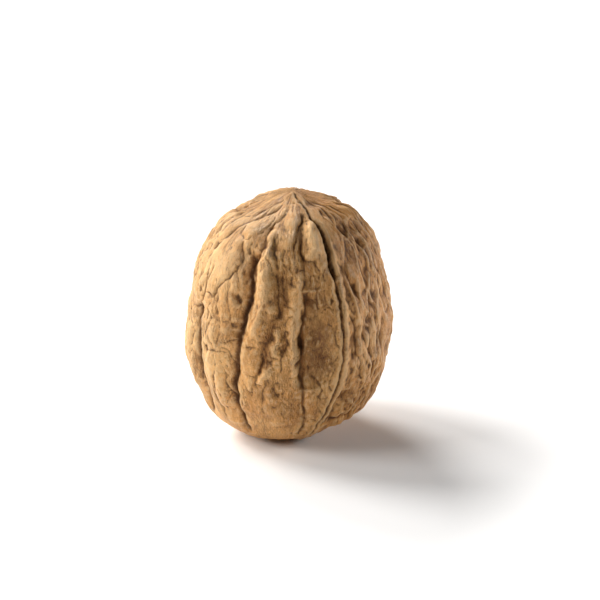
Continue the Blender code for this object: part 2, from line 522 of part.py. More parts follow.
def shell_material():
    """The finish of the shell: a matt light brown."""
    material = bpy.data.materials.new("walnut_shell")
    material.use_nodes = True
    surface = material.node_tree.nodes["Principled BSDF"]
    surface.inputs["Base Color"].default_value = SHELL_COLOUR
    surface.inputs["Roughness"].default_value = SHELL_ROUGHNESS
    material.diffuse_color = SHELL_COLOUR
    return material


def displaced_ball():
    """The fine mesh of the shell: a ball of small triangles, moved onto the body and its relief."""
    form = bmesh.new()
    bmesh.ops.create_icosphere(form, subdivisions=BALL_DIVISIONS, radius=1.0)
    mesh = bpy.data.meshes.new("walnut")
    form.to_mesh(mesh)
    form.free()
    directions = np.empty(len(mesh.vertices) * 3, np.float64)
    mesh.vertices.foreach_get("co", directions)
    directions = directions.reshape(-1, 3)
    directions /= np.linalg.norm(directions, axis=1)[:, None]
    azimuth, height, place, normal, grain = body_frame(directions)
    rise = shell_relief(azimuth, height, place, normal, grain)
    points = stand(place + rise[:, None] * normal) * METRES
    mesh.vertices.foreach_set("co", points.ravel())
    mesh.update()
    return mesh


def thinned(mesh, collection):
    """The same shape with fewer triangles, kept small where the surface bends."""
    carrier = bpy.data.objects.new("fine_shell", mesh)
    collection.objects.link(carrier)
    thinning = carrier.modifiers.new("thinning", "DECIMATE")
    thinning.decimate_type = "COLLAPSE"
    thinning.ratio = SHELL_TRIANGLES / len(mesh.polygons)
    graph = bpy.context.evaluated_depsgraph_get()
    result = bpy.data.meshes.new_from_object(carrier.evaluated_get(graph))
    bpy.data.objects.remove(carrier, do_unlink=True)
    return result


def cut_flat(mesh):
    """Cuts the base off level at height 0 and closes it with a flat face."""
    form = bmesh.new()
    form.from_mesh(mesh)
    everything = form.verts[:] + form.edges[:] + form.faces[:]
    cut = bmesh.ops.bisect_plane(
        form, geom=everything, dist=1e-7, plane_co=(0, 0, 0), plane_no=(0, 0, -1), clear_outer=True,
    )
    rim = [part for part in cut["geom_cut"] if isinstance(part, bmesh.types.BMEdge)]
    bmesh.ops.contextual_create(form, geom=rim)
    bmesh.ops.triangulate(form, faces=form.faces[:])
    bmesh.ops.recalc_face_normals(form, faces=form.faces[:])
    form.to_mesh(mesh)
    form.free()
    mesh.update()


def main():
    """Builds the walnut in a collection of its own."""
    clear_scene()
    noise.seed_set(SEED_NUMBER)
    collection = bpy.data.collections.new("walnut_in_shell")
    bpy.context.scene.collection.children.link(collection)
    mesh = thinned(displaced_ball(), collection)
    cut_flat(mesh)
    mesh.name = "walnut"
    mesh.materials.clear()
    mesh.materials.append(shell_material())
    walnut = bpy.data.objects.new("walnut", mesh)
    collection.objects.link(walnut)


main()
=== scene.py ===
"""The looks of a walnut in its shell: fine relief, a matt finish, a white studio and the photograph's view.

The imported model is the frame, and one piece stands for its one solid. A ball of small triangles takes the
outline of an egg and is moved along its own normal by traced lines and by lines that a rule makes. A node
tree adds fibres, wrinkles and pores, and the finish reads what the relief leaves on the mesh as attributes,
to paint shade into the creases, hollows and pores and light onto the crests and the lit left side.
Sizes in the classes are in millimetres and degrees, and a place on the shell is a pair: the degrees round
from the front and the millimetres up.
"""

import logging
import math
import random
from collections.abc import Iterable, Sequence
from dataclasses import dataclass, field
from enum import Enum

import bmesh
import bpy
import numpy as np
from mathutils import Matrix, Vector, noise

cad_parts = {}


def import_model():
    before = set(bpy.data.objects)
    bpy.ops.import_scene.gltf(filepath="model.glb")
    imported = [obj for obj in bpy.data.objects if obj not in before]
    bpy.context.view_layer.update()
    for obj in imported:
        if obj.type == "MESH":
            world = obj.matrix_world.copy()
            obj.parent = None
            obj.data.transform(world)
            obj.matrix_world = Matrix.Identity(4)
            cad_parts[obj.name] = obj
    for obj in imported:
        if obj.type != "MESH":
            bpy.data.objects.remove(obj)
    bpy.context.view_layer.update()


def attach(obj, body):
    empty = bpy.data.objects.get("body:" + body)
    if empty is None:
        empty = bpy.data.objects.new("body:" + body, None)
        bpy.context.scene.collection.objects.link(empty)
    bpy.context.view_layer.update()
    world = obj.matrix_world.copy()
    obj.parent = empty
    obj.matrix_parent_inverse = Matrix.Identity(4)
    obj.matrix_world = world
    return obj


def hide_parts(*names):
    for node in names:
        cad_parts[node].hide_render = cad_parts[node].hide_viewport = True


LOG = logging.getLogger("walnut")

METRES = 0.001

# How often the mesh is softened for the fine and then for the wide bends, and the bends in millimetres that
# count as 1.
CLOSE_ROUNDS = 6
FAR_ROUNDS = 90
FULL_FINE_BEND = 0.035
FULL_WIDE_BEND = 0.30

Place = tuple[float, float]
Colour = tuple[float, float, float]
Nearby = tuple[np.ndarray, np.ndarray, np.ndarray, np.ndarray]
Socket = bpy.types.NodeSocket


class Form(Enum):
    """How a line's bottom or top is shaped: round, sharp, or sharp between swollen shoulders."""

    ROUND = "round"
    SHARP = "sharp"
    SWOLLEN = "swollen"


@dataclass(frozen=True)
class Line:
    """A relief line on the shell.

    Args:
        rise: millimetres over the body, below 0 for a sunk line.
        left: how far its left side reaches, in millimetres.
        right: how far its right side reaches.
        places: the places it passes.
    """

    rise: float
    left: float
    right: float
    places: tuple[Place, ...]


@dataclass(frozen=True)
class Spot:
    """An oval dent or swelling, or an oval patch of colour.

    Args:
        azimuth: degrees round from the front.
        height: millimetres up.
        across: half its size round the nut, in millimetres.
        along: half its size up the nut.
        rise: millimetres over the body, below 0 for a dent; for a patch of colour, its strength.
    """

    azimuth: float
    height: float
    across: float
    along: float
    rise: float


# The suture, from the tip down the front to the base, and from the tip down the back.
SUTURE_FRONT: tuple[Place, ...] = (
    (9, 41.7), (20, 41), (21.5, 40.3), (22.5, 39.6), (24.2, 39.35), (26.1, 38.9), (27.8, 38.4), (28.5, 37.4),
    (28.3, 36), (27.8, 34.6), (28, 32.8), (28.7, 30.9), (29.3, 28.6), (29.8, 26.4), (30.3, 24), (30.8, 21.5),
    (31, 19.7), (30.7, 18), (29.9, 16), (28.5, 14.2), (27, 12.3), (25.8, 10.1), (24.2, 8.6), (23, 7),
    (22, 4.5), (21, 2.5), (20, 0.6),
)
SUTURE_BACK: tuple[Place, ...] = (
    (189, 41.7), (200, 41), (206, 39.5), (209, 37), (208, 33.5), (210, 29), (212, 24), (212, 19),
    (210, 14.5), (206, 10.5), (203, 7), (201, 4), (200, 0.6),
)
# The stretch of it that stands open.
SUTURE_OPEN: tuple[Place, ...] = (
    (24.2, 39.35), (27.8, 38.4), (28.5, 37.4), (28.3, 36), (27.8, 34.6), (28, 32.8), (28.5, 31.5),
)

# Broad swellings and hollows that give the nut its uneven outline.
LOBES: tuple[Spot, ...] = (
    Spot(-80, 40.3, 4.2, 3, -0.95), Spot(97, 38.6, 3.4, 2.8, 0.60), Spot(-95, 36.5, 6, 4, 0.60),
    Spot(-93, 31, 5, 2.6, 0.40), Spot(-92, 25.4, 6, 2.6, -0.50), Spot(-33, 37.9, 1.9, 1.3, 0.30),
    Spot(-92, 20.5, 6, 2.2, -0.30), Spot(-92, 14, 6, 3.2, 0.50), Spot(-78, 5, 7.5, 3.6, 0.55),
    Spot(-90, 9.6, 5, 2.2, -0.35), Spot(-38, 2.5, 8, 3, 0.55), Spot(100, 36, 7.5, 4.5, 0.85),
    Spot(80, 41.4, 4.5, 3.5, -0.40), Spot(95, 26.5, 6, 4, -0.30), Spot(95, 13, 6, 4.4, -0.60),
    Spot(74, 2.6, 8, 3, -1.15), Spot(45, 9, 4, 3, -0.3), Spot(-45, 31.5, 3.6, 5.2, 0.45),
    Spot(150, 12, 8, 6, 0.35), Spot(178, 30, 7, 6, -0.4), Spot(-140, 33, 6, 6, 0.35),
    Spot(-120, 12, 6, 6, -0.35),
)

# Wide valleys and round folds, traced from left to right.
VALLEYS: tuple[Line, ...] = (
    # The long valley down the left of centre, gentle on its left and steep on its right.
    Line(-0.30, 1.3, 0.8, ((-19, 38.8), (-20.3, 37.6), (-20, 36.2), (-22.6, 34.7), (-24.2, 33))),
    Line(-1.10, 2.3, 0.9, (
        (-23.1, 35.2), (-25.9, 33.5), (-24.6, 31), (-24, 28.8), (-25.5, 26.6), (-27, 23.5), (-28.6, 21),
        (-29.5, 18.1), (-31, 14.8), (-32.5, 11.5), (-33, 9.5), (-31, 5.5),
    )),
    # The sunk strip right of the centre line.
    Line(-0.95, 0.5, 3.0, ((8.8, 30), (9, 27.6), (7.5, 24.5), (6.4, 22.3), (7, 20), (7.2, 17), (8.8, 13.6))),
    # The valley along the left side, between the outer lobe and the middle one.
    Line(-0.90, 1.2, 1.8, (
        (-61.3, 25.5), (-63, 22.8), (-62.5, 19), (-62, 16), (-61.1, 12), (-60.5, 10.7), (-62.5, 8.3),
        (-66.5, 5.5),
    )),
    # The fold between the tip and the long valley, and the ones beside it.
    Line(0.45, 0.8, 0.8, ((-17, 38.5), (-16.8, 37), (-16.4, 35.6), (-16.2, 34))),
    Line(0.85, 1.6, 1.9, ((-15.8, 35.8), (-16, 33.5), (-15.8, 31.5), (-14.7, 28.5), (-16.7, 25), (-20, 22))),
    Line(1.00, 1.0, 1.0, ((19, 39.3), (18.5, 37.6), (18, 36), (15.6, 34.4))),
    Line(0.45, 1.2, 1.0, ((2, 41.2), (2, 39.6), (2.2, 38.4), (0.8, 37.2), (-0.8, 35.8))),
    Line(0.60, 1.1, 0.9, ((6, 33), (5.6, 30), (4.4, 27.8), (3, 25.5), (3.6, 22.5), (4, 19.5), (4.3, 16))),
    Line(0.95, 0.7, 0.65, ((-5.8, 24.3), (-5.5, 23), (-6, 22), (-7.4, 21.2), (-7.2, 20.2), (-6.8, 19.6))),
    Line(0.85, 0.6, 0.65, ((-8, 17.9), (-10, 17.1), (-12.3, 16.3), (-14.3, 15.6), (-15.7, 14.6))),
    Line(0.45, 0.6, 0.6, ((-20.5, 15.8), (-20.3, 14.6), (-21.5, 13.2))),
    Line(-0.55, 1.5, 1.7, ((-3, 34), (-2, 30), (-4, 27), (-8.5, 24.5), (-10.5, 22), (-12, 19), (-11, 17.6))),
    Line(0.45, 2.2, 2.2, ((-43, 24), (-43.5, 21), (-42, 16.5), (-41.5, 12), (-42, 8))),
    Line(0.35, 2.0, 2.0, ((-14, 13), (-8, 9), (-4, 6))),
    Line(0.40, 1.6, 1.6, ((-67, 30), (-67, 27.5), (-66, 25.8))),
    Line(0.35, 1.5, 1.5, ((-68, 21), (-68, 17), (-69, 13), (-71, 9))),
    # The smooth rim right of the suture, and the groove that marks its far edge.
    Line(0.22, 0.9, 0.9, (
        (32, 37), (32.2, 32), (32.6, 27), (33.2, 22), (33.4, 18), (32.2, 14.6), (29.9, 11.8),
    )),
    Line(-0.32, 0.6, 1.4, (
        (35.6, 37), (35.6, 32), (35.6, 27), (36, 21.5), (35.4, 15.2), (33, 12.5), (31, 10.8),
    )),
    Line(-0.65, 0.45, 1.6, ((33.4, 13), (31.2, 10.8), (29.4, 8.9), (28, 7.2), (26.5, 5.5))),
    Line(-0.55, 1.0, 1.3, (
        (47, 38.9), (50.5, 38.3), (53, 37.8), (56, 37.2), (58.5, 36.2), (60, 35.4), (62, 34.4),
    )),
    Line(-0.35, 0.9, 0.9, ((67, 38.2), (70, 37), (72, 36))),
    Line(0.40, 0.8, 0.8, ((56, 5.6), (48, 5), (40, 4.7), (33, 4.8))),
    Line(-0.45, 0.6, 0.6, ((54, 7.4), (47, 6.6), (40, 6.3), (34, 6.1), (30, 6.3))),
    Line(-0.40, 0.9, 1.2, ((24, 41.2), (36, 41.1), (50, 41.2), (62, 41))),
)

# Crisp creases, with smooth pillows between them, traced from the tip down and from left to right.
CREASES: tuple[Line, ...] = (
    Line(-0.60, 0.40, 0.32, (
        (-5, 41), (-8.6, 40.2), (-11.6, 39.8), (-14.5, 39.4), (-17.4, 39.3), (-19, 38.8), (-20.3, 38.1),
        (-20.2, 37.2), (-20, 36.2), (-21.3, 35.4), (-22.6, 34.7), (-24.3, 33.8), (-24, 33.2), (-23, 31.8),
        (-22.3, 30.5),
    )),
    Line(-1.00, 0.50, 0.38, (
        (-23.5, 34.7), (-25.8, 33.8), (-25.9, 33.2), (-25, 31.8), (-24.3, 30.5), (-23.9, 29), (-24.3, 28),
        (-25.2, 27), (-25.9, 25), (-27, 23.5), (-28.5, 21.6), (-28.7, 19.9), (-29.5, 18.1), (-30.4, 16),
        (-31.5, 13.6), (-32.2, 12.4), (-33, 10), (-32.5, 8), (-31, 5.5), (-30, 3.5),
    )),
    Line(-0.30, 0.32, 0.5, (
        (8.3, 36), (9.3, 34.5), (8.8, 33), (8.4, 31.2), (8, 29.4), (8.7, 27.6), (9.6, 26.8), (8.5, 25.8),
        (7.6, 25),
    )),
    Line(-0.60, 0.32, 0.5, (
        (8.7, 27.8), (9.6, 26.8), (8.5, 25.8), (7.6, 25), (6.8, 23.2), (6, 22.3), (7, 21.3), (7.3, 20.3),
        (6.6, 18.6), (7.1, 17), (7.9, 14.8), (8.8, 13.6),
    )),
    Line(-0.85, 0.34, 0.42, (
        (7.1, 17), (7.9, 14.8), (8.8, 13.6), (9.2, 12.4), (9.5, 11.1), (10, 10.1), (11.3, 9.1), (11.3, 7.8),
        (11.3, 6.6), (11, 5.5), (10, 4),
    )),
    Line(-0.42, 0.5, 0.6, (
        (-14, 37.5), (-12.4, 36.3), (-11.5, 35.4), (-10.5, 34.8), (-9, 33.9), (-7.8, 33), (-7.5, 31.6),
        (-6.6, 30), (-6.2, 28), (-5.4, 27), (-5.2, 25.8),
    )),
    Line(-0.60, 0.45, 0.45, (
        (-20, 41.2), (-27, 40.65), (-35, 40.1), (-40.3, 39.6), (-44.4, 39), (-49.9, 38.5), (-54, 37.8),
        (-58, 36.3), (-60, 35.2), (-63, 34.4), (-66, 33.6),
    )),
    Line(-0.60, 0.4, 0.4, ((-49.9, 38.4), (-45.3, 37.6), (-45, 37), (-42, 36.6), (-41, 36.2))),
    Line(-0.45, 0.35, 0.35, (
        (-41, 36.4), (-35.3, 36.6), (-32.2, 37), (-29.8, 37.3), (-27.1, 37.7), (-26, 38), (-25.5, 38.5),
        (-23.6, 38.95), (-22.5, 39.45), (-21.4, 39.75), (-18, 39.5),
    )),
    Line(-0.50, 0.45, 0.45, (
        (-30, 41.5), (-38, 41.4), (-43, 41.1), (-47, 40.7), (-51.4, 40), (-58.7, 39.3), (-65, 39.2),
    )),
    Line(-0.35, 0.3, 0.3, ((-78, 39.3), (-72, 38.9), (-68, 38.2))),
    Line(-0.30, 0.3, 0.3, ((-73, 33.6), (-73.5, 32.6))),
    Line(-0.50, 0.4, 0.4, ((-56, 32.6), (-55, 32), (-55.3, 31), (-56, 30), (-57.2, 28.6), (-57, 27.2))),
    Line(-0.55, 0.4, 0.4, (
        (-61, 32.5), (-60.5, 31.5), (-60, 30.1), (-59, 29), (-57.8, 28), (-57, 27.2), (-59, 26.3),
        (-60.3, 25.7), (-63, 25), (-67, 24.3), (-71, 23.6), (-76, 22.6),
    )),
    Line(-0.60, 0.32, 0.45, (
        (-41, 36.4), (-38, 35.2), (-35.2, 33.4), (-36, 32.8), (-37.5, 31.9), (-39, 31.1), (-41.5, 30.15),
        (-45, 29.1), (-47, 28.6), (-48, 27.6), (-50, 27.2), (-53, 27.5), (-56.5, 27.2),
    )),
    Line(-0.40, 0.3, 0.3, ((-48.8, 30.2), (-47.8, 29))),
    Line(-0.75, 0.4, 0.5, (
        (-60.1, 26), (-63, 24.5), (-63, 22.8), (-63, 21), (-62.5, 18), (-62, 16), (-61.5, 14), (-61, 12),
        (-60.5, 10.7), (-62.5, 8.3), (-65.5, 6), (-68.5, 4),
    )),
    Line(-0.40, 0.35, 0.35, ((-46.5, 14), (-45, 13), (-46, 11.5), (-47.5, 10), (-46.5, 8), (-45, 6))),
    Line(-0.45, 0.35, 0.35, ((-51.5, 18), (-46, 18.4), (-43, 18.7), (-38.5, 18.9), (-35, 18.6))),
    Line(-0.32, 0.3, 0.3, ((-36, 18.2), (-36.5, 17), (-36, 16), (-35.5, 15.3))),
    Line(-0.40, 0.35, 0.35, ((-41, 15), (-39, 15), (-36.5, 14.8), (-34.5, 14.4), (-31.5, 13.2))),
    Line(-0.40, 0.35, 0.35, ((-38, 20.3), (-35, 20.9), (-31, 21.1), (-28, 21), (-26.4, 20.4))),
    Line(-0.32, 0.3, 0.3, ((-45.5, 26.2), (-44, 25.3), (-43.5, 24.8))),
    Line(-0.45, 0.4, 0.4, ((-31, 34), (-28.5, 33.5), (-25.7, 32.9), (-24.3, 32.4))),
    Line(-0.45, 0.4, 0.4, ((-30, 36.6), (-30.4, 36), (-31.7, 35.2), (-32.5, 34.4))),
    Line(-0.35, 0.35, 0.35, ((-27, 36.9), (-27.5, 36), (-28, 34.8))),
    Line(-0.30, 0.3, 0.3, ((-20.8, 26.6), (-18.5, 27.2), (-15.5, 27.3))),
    Line(-0.30, 0.3, 0.3, ((-24.5, 20.4), (-21.5, 20.8), (-17.5, 20.8))),
    Line(-0.60, 0.35, 0.45, (
        (14.5, 40.2), (9.6, 39.35), (6.8, 38.8), (5.2, 38.2), (4.3, 37.5), (3.8, 36.7), (3.5, 35.6),
    )),
    Line(-0.45, 0.35, 0.35, ((8.4, 37.9), (7.8, 36.6), (8.3, 35.6), (10, 34.6), (12.6, 33.6))),
    Line(-0.35, 0.3, 0.3, ((0.5, 32.5), (1.2, 31.7), (2, 31.1), (4, 30.4), (6.5, 30.1))),
    Line(-0.40, 0.4, 0.4, ((-1.5, 23.3), (0, 22.1), (1.5, 21.3), (2, 20.2))),
    Line(-0.35, 0.35, 0.35, ((11.5, 7.8), (14, 7.6), (17, 7.5), (20.5, 7.3), (23, 7.4))),
    Line(-0.40, 0.35, 0.35, (
        (10.6, 18), (12, 17.3), (14.8, 15.8), (17.7, 15), (19, 14.2), (19.5, 13.3), (19, 12.8), (18.5, 12.3),
        (20.5, 11.9), (23, 11.8),
    )),
    Line(-0.35, 0.3, 0.3, ((52, 11.9), (49.5, 11.6), (47, 11.6), (42, 11))),
)

# Hairline creases that only a close look shows.
HAIRLINES: tuple[Line, ...] = (
    Line(-0.16, 0.22, 0.22, ((-2, 26.05), (1.5, 26.2), (5, 26))),
    Line(-0.18, 0.22, 0.22, ((3, 32.8), (4.5, 30.6), (6.5, 30.1))),
    Line(-0.18, 0.22, 0.22, ((5, 26), (2.5, 25.3), (0.5, 24.6))),
    Line(-0.20, 0.22, 0.22, ((24.5, 30), (25, 27.5), (24, 27.4), (21, 26.9))),
    Line(-0.16, 0.22, 0.22, ((21, 24.7), (25, 24))),
    Line(-0.20, 0.22, 0.22, ((15.2, 15.6), (14.6, 14), (15.5, 12.6), (16.3, 11.9))),
    Line(-0.18, 0.22, 0.22, ((7, 38.2), (7.5, 37.2), (8, 36.3))),
    Line(-0.20, 0.22, 0.22, ((-33, 40.9), (-38, 40.6), (-42, 40))),
    Line(-0.18, 0.22, 0.22, ((-66, 38.4), (-70, 36.8), (-74, 35), (-76, 33))),
    Line(-0.18, 0.22, 0.22, ((-72, 37.9), (-76, 36.2), (-79, 34.4))),
    Line(-0.18, 0.22, 0.22, ((-60, 37.6), (-65, 36.2), (-69, 34.4), (-70.5, 32.5))),
    Line(-0.18, 0.22, 0.22, ((-78, 31.3), (-78.4, 29.6), (-77.6, 28))),
    Line(-0.18, 0.22, 0.22, ((-47, 24.3), (-48.4, 23.2), (-48.2, 22))),
    Line(-0.15, 0.22, 0.22, ((-39.5, 27), (-38.6, 25.6), (-39.2, 24.2))),
    Line(-0.15, 0.22, 0.22, ((-33.6, 26.6), (-32.6, 25.2), (-33.4, 22.6))),
    Line(-0.16, 0.22, 0.22, ((-17.2, 33.6), (-17.8, 31.2), (-17, 29))),
    Line(-0.16, 0.22, 0.22, ((-52, 22), (-52.8, 19.6), (-52, 17), (-52.6, 13.4))),
    Line(-0.15, 0.22, 0.22, ((17, 31.5), (17.6, 28.6), (16.8, 26.2))),
    Line(-0.15, 0.22, 0.22, ((20.4, 32.4), (21.6, 29.8), (22, 27.8))),
)

# Pits and hollows of the front.
SPOTS: tuple[Spot, ...] = (
    Spot(6.6, 21.9, 0.7, 1.5, -0.95), Spot(-32.6, 28.3, 0.4, 0.5, -0.40),
    Spot(-30.4, 27.6, 0.35, 0.5, -0.35), Spot(-37, 23.8, 0.6, 0.7, -0.3), Spot(-32.8, 23.6, 0.6, 0.8, -0.3),
    Spot(-51.2, 18.6, 0.6, 0.7, -0.35), Spot(-14.5, 17, 0.6, 0.6, -0.3), Spot(-5, 14.6, 1, 1, -0.3),
    Spot(-13, 11.7, 0.8, 0.8, -0.22), Spot(-7.7, 10.6, 0.8, 0.8, -0.18), Spot(-5.5, 12.7, 0.7, 0.7, -0.2),
    Spot(-10, 8.1, 0.8, 0.7, -0.15), Spot(-8.5, 38.7, 1, 0.9, -0.14), Spot(-3.5, 38.3, 0.9, 0.8, -0.18),
    Spot(2, 31.1, 0.5, 0.8, -0.15), Spot(18, 20, 2.2, 4.4, -0.75), Spot(16, 25.8, 1.8, 2.4, -0.25),
    Spot(42.8, 29.3, 0.6, 1.4, -0.45), Spot(50, 28.5, 0.7, 0.9, -0.4), Spot(57, 26.8, 1.5, 1.9, -0.65),
    Spot(57, 31.3, 0.8, 0.9, -0.4), Spot(68, 27.2, 0.8, 1.2, -0.4), Spot(49, 23.2, 1.3, 1.6, -0.65),
    Spot(61, 19.7, 1.3, 1.8, -0.65), Spot(39, 21.5, 0.9, 1.5, -0.45), Spot(44, 21.6, 0.7, 0.9, -0.35),
    Spot(52, 18.6, 0.8, 1.1, -0.4), Spot(56, 15.6, 0.8, 1.7, -0.5), Spot(42, 14.2, 1, 0.9, -0.35),
    Spot(39, 18.6, 0.7, 0.9, -0.35), Spot(38, 11.3, 0.9, 1.3, -0.5), Spot(46, 33.5, 0.9, 2, -0.3),
    Spot(66, 22.5, 0.9, 1.6, -0.4), Spot(70, 17, 0.9, 1.6, -0.35),
)

# Darker patches, by strength: the sunk strip, the hollow left of the middle, the pit clusters and the tip.
# They are partly brown stains and partly painted shade over the pits, the hollows and the dim middle.
STAINS_AND_SHADE: tuple[Spot, ...] = (
    Spot(14, 22, 7, 14, 0.46), Spot(-10, 24, 3.5, 8, 0.25), Spot(-2, 31, 2.2, 4.5, 0.32),
    Spot(17, 20.5, 2.9, 6.5, 1), Spot(15, 28.5, 2.2, 3.5, 0.8), Spot(-11, 21, 2.2, 4.5, 0.55),
    Spot(-12, 12.5, 3.2, 2.6, 0.55), Spot(-31.6, 27.9, 0.6, 0.8, 1), Spot(-29, 24, 2, 3, 0.30),
    Spot(7, 22, 0.8, 1.8, 1), Spot(57, 27, 1.5, 2, 0.6), Spot(49, 23.2, 1.2, 1.6, 0.6),
    Spot(61, 19.7, 1.3, 1.8, 0.6), Spot(39, 21.5, 0.9, 1.6, 0.6), Spot(55, 36.8, 2.4, 1.6, 0.6),
    Spot(64, 34, 2, 4, 0.35), Spot(50, 33.5, 1.4, 2.4, 0.4), Spot(-26, 31, 1.4, 4, 0.35),
    Spot(40, 41.2, 1.6, 1.2, 0.9), Spot(-8.5, 39, 1.2, 0.9, 0.3), Spot(38, 11.5, 1.4, 2, 0.55),
    Spot(-4, 10.5, 5, 5, 0.38), Spot(19, 12, 2, 4, 0.30), Spot(21, 34, 1.2, 2.4, 0.35),
    Spot(20, 16, 2, 2.5, 0.35), Spot(0, 23, 1.2, 1.2, 0.3),
)

# Paler places, by strength: the pillows of the left, the ridge right of the long valley, and the rims.
# They are partly worn places and partly painted light on the lit left side and its ridges.
WORN_AND_LIT: tuple[Spot, ...] = (
    Spot(-47, 32.5, 3.2, 4.4, 0.85), Spot(-33, 38, 2.4, 1.6, 0.6), Spot(-58, 32, 8, 9, 0.65),
    Spot(-60, 19, 7, 10, 0.72), Spot(-33, 34, 2.6, 3.2, 0.55), Spot(-45, 38.5, 6, 3, 0.55),
    Spot(-15, 31, 2, 6, 0.45), Spot(2.5, 38.5, 1.8, 2.6, 0.6), Spot(17.5, 37, 1.2, 3, 0.8),
    Spot(4.5, 24, 0.8, 6, 0.5), Spot(-33, 18, 3, 6, 0.35), Spot(48, 20, 5, 7, 0.30),
    Spot(-120, 26, 9, 10, 0.4), Spot(140, 20, 9, 10, 0.35), Spot(-25, 40, 5, 3, 0.45),
)

# Smooth places that crumple less, by how much: the oval plates of the upper left, the drop right of the
# tip, the wedge left of it and the sunk strip.
CALM: tuple[Spot, ...] = (
    Spot(-47, 32.5, 3.6, 4.6, 0.95), Spot(-33, 37.9, 3, 2.2, 0.95), Spot(18.5, 36.4, 1.3, 2.6, 0.85),
    Spot(2, 39.2, 2, 2.2, 0.85), Spot(-4, 36.4, 2.4, 2.4, 0.6), Spot(-4, 30.5, 2.6, 5, 0.55),
    Spot(-8, 8, 5, 5.5, 0.75), Spot(18, 21, 3.2, 7, 0.65), Spot(-14, 30, 1.6, 5, 0.45),
    Spot(-68, 30, 2.6, 3, 0.6), Spot(-52, 38.6, 3, 1.5, 0.4), Spot(16, 9.5, 3.4, 3, 0.6),
)


@dataclass(frozen=True)
class ShellBody:
    """The egg-shaped body under the relief.

    Args:
        height: from the lowest point to the top, before the flat is cut.
        widest_at: the height of its widest ring.
        radius: the radius of that ring.
        top_powers: the two powers of the outline above the ring.
        base_powers: the two powers of the outline below it.
        lean: how far the axis leans to the right, in degrees.
        flat_at: the height at which the flat is cut.
        shift: what puts the finished part's middle over the origin.
        tip_shift: how far the tip is pushed to the right and up.
        tip_from: the height from which that push grows.
    """

    height: float = 41.8
    widest_at: float = 19.4
    radius: float = 17.15
    top_powers: tuple[float, float] = (2.0, 2.17)
    base_powers: tuple[float, float] = (2.35, 2.33)
    lean: float = 1.3
    flat_at: float = 0.5
    shift: tuple[float, float] = (-0.03, 0.14)
    tip_shift: tuple[float, float] = (0.42, -0.12)
    tip_from: float = 37.0

    def radius_at(self, height: np.ndarray) -> np.ndarray:
        """The radius of the body at each height.

        Args:
            height: heights in millimetres.

        Returns:
            Radii in millimetres.
        """
        above = height >= self.widest_at
        reach = np.where(above, self.height - self.widest_at, self.widest_at)
        share = np.clip(np.abs(height - self.widest_at) / reach, 0, 1)
        first = np.where(above, self.top_powers[0], self.base_powers[0])
        second = np.where(above, self.top_powers[1], self.base_powers[1])
        return self.radius * np.clip(1 - share**first, 0, 1) ** (1 / second)

    def point(self, azimuth: np.ndarray, height: np.ndarray) -> np.ndarray:
        """The points of the body at places.

        Args:
            azimuth: degrees round from the front.
            height: millimetres up.

        Returns:
            One row of three millimetre values for each place.
        """
        angle = np.radians(azimuth)
        radius = self.radius_at(height)
        return np.stack([radius * np.sin(angle), -radius * np.cos(angle), height], -1)

    def outline(self, steps: int = 4000) -> tuple[np.ndarray, np.ndarray, np.ndarray]:
        """The outline from the base up to the tip, with points close together near both ends.

        Args:
            steps: how many points it has.

        Returns:
            The heights, the radii and the lengths along it.
        """
        turn = np.linspace(0, math.pi, steps)
        height = self.height * (1 - np.cos(turn)) / 2
        radius = self.radius_at(height)
        step = np.hypot(np.diff(height), np.diff(radius))
        return height, radius, np.concatenate([[0], np.cumsum(step)])

    def stand(self, points: np.ndarray) -> np.ndarray:
        """Pushes the tip, tilts points by the lean, and puts the flat at height 0 over the origin.

        Args:
            points: rows of three millimetre values.

        Returns:
            The moved rows.
        """
        angle = math.radians(self.lean)
        tip = soft_step(points[:, 2], self.tip_from, self.height)
        across = points[:, 0] + self.tip_shift[0] * tip
        up = points[:, 2] + self.tip_shift[1] * tip - self.widest_at
        return np.stack([
            across * math.cos(angle) + up * math.sin(angle) + self.shift[0],
            points[:, 1] + self.shift[1],
            self.widest_at - across * math.sin(angle) + up * math.cos(angle) - self.flat_at,
        ], -1)


@dataclass
class Surface:
    """The vertices of the shell on its plain body.

    Args:
        azimuth: degrees round from the front, one for each vertex.
        height: millimetres up.
        place: points on the plain body.
        normal: outward normals of the plain body.
        grain: points on a straight tube, which keep a pattern unstretched along the nut.
    """

    azimuth: np.ndarray
    height: np.ndarray
    place: np.ndarray
    normal: np.ndarray
    grain: np.ndarray

    @classmethod
    def of(cls, body: ShellBody, directions: np.ndarray) -> "Surface":
        """Lays the vertices of a ball on a body.

        Args:
            body: the body.
            directions: unit directions from the ball's middle, a row for each vertex.

        Returns:
            The vertices on the body.
        """
        outline_height, outline_radius, length = body.outline()
        azimuth = np.degrees(np.arctan2(directions[:, 0], -directions[:, 1]))
        along = np.arccos(np.clip(-directions[:, 2], -1, 1)) / math.pi * length[-1]
        height = np.interp(along, length, outline_height)
        rise = np.interp(along, length, np.gradient(outline_height, length))
        widening = np.interp(along, length, np.gradient(outline_radius, length))
        angle = np.radians(azimuth)
        normal = np.stack([rise * np.sin(angle), -rise * np.cos(angle), -widening], -1)
        normal /= np.linalg.norm(normal, axis=1)[:, None]
        grain = np.stack([body.radius * np.sin(angle), -body.radius * np.cos(angle), along], -1)
        return cls(azimuth, height, body.point(azimuth, height), normal, grain)


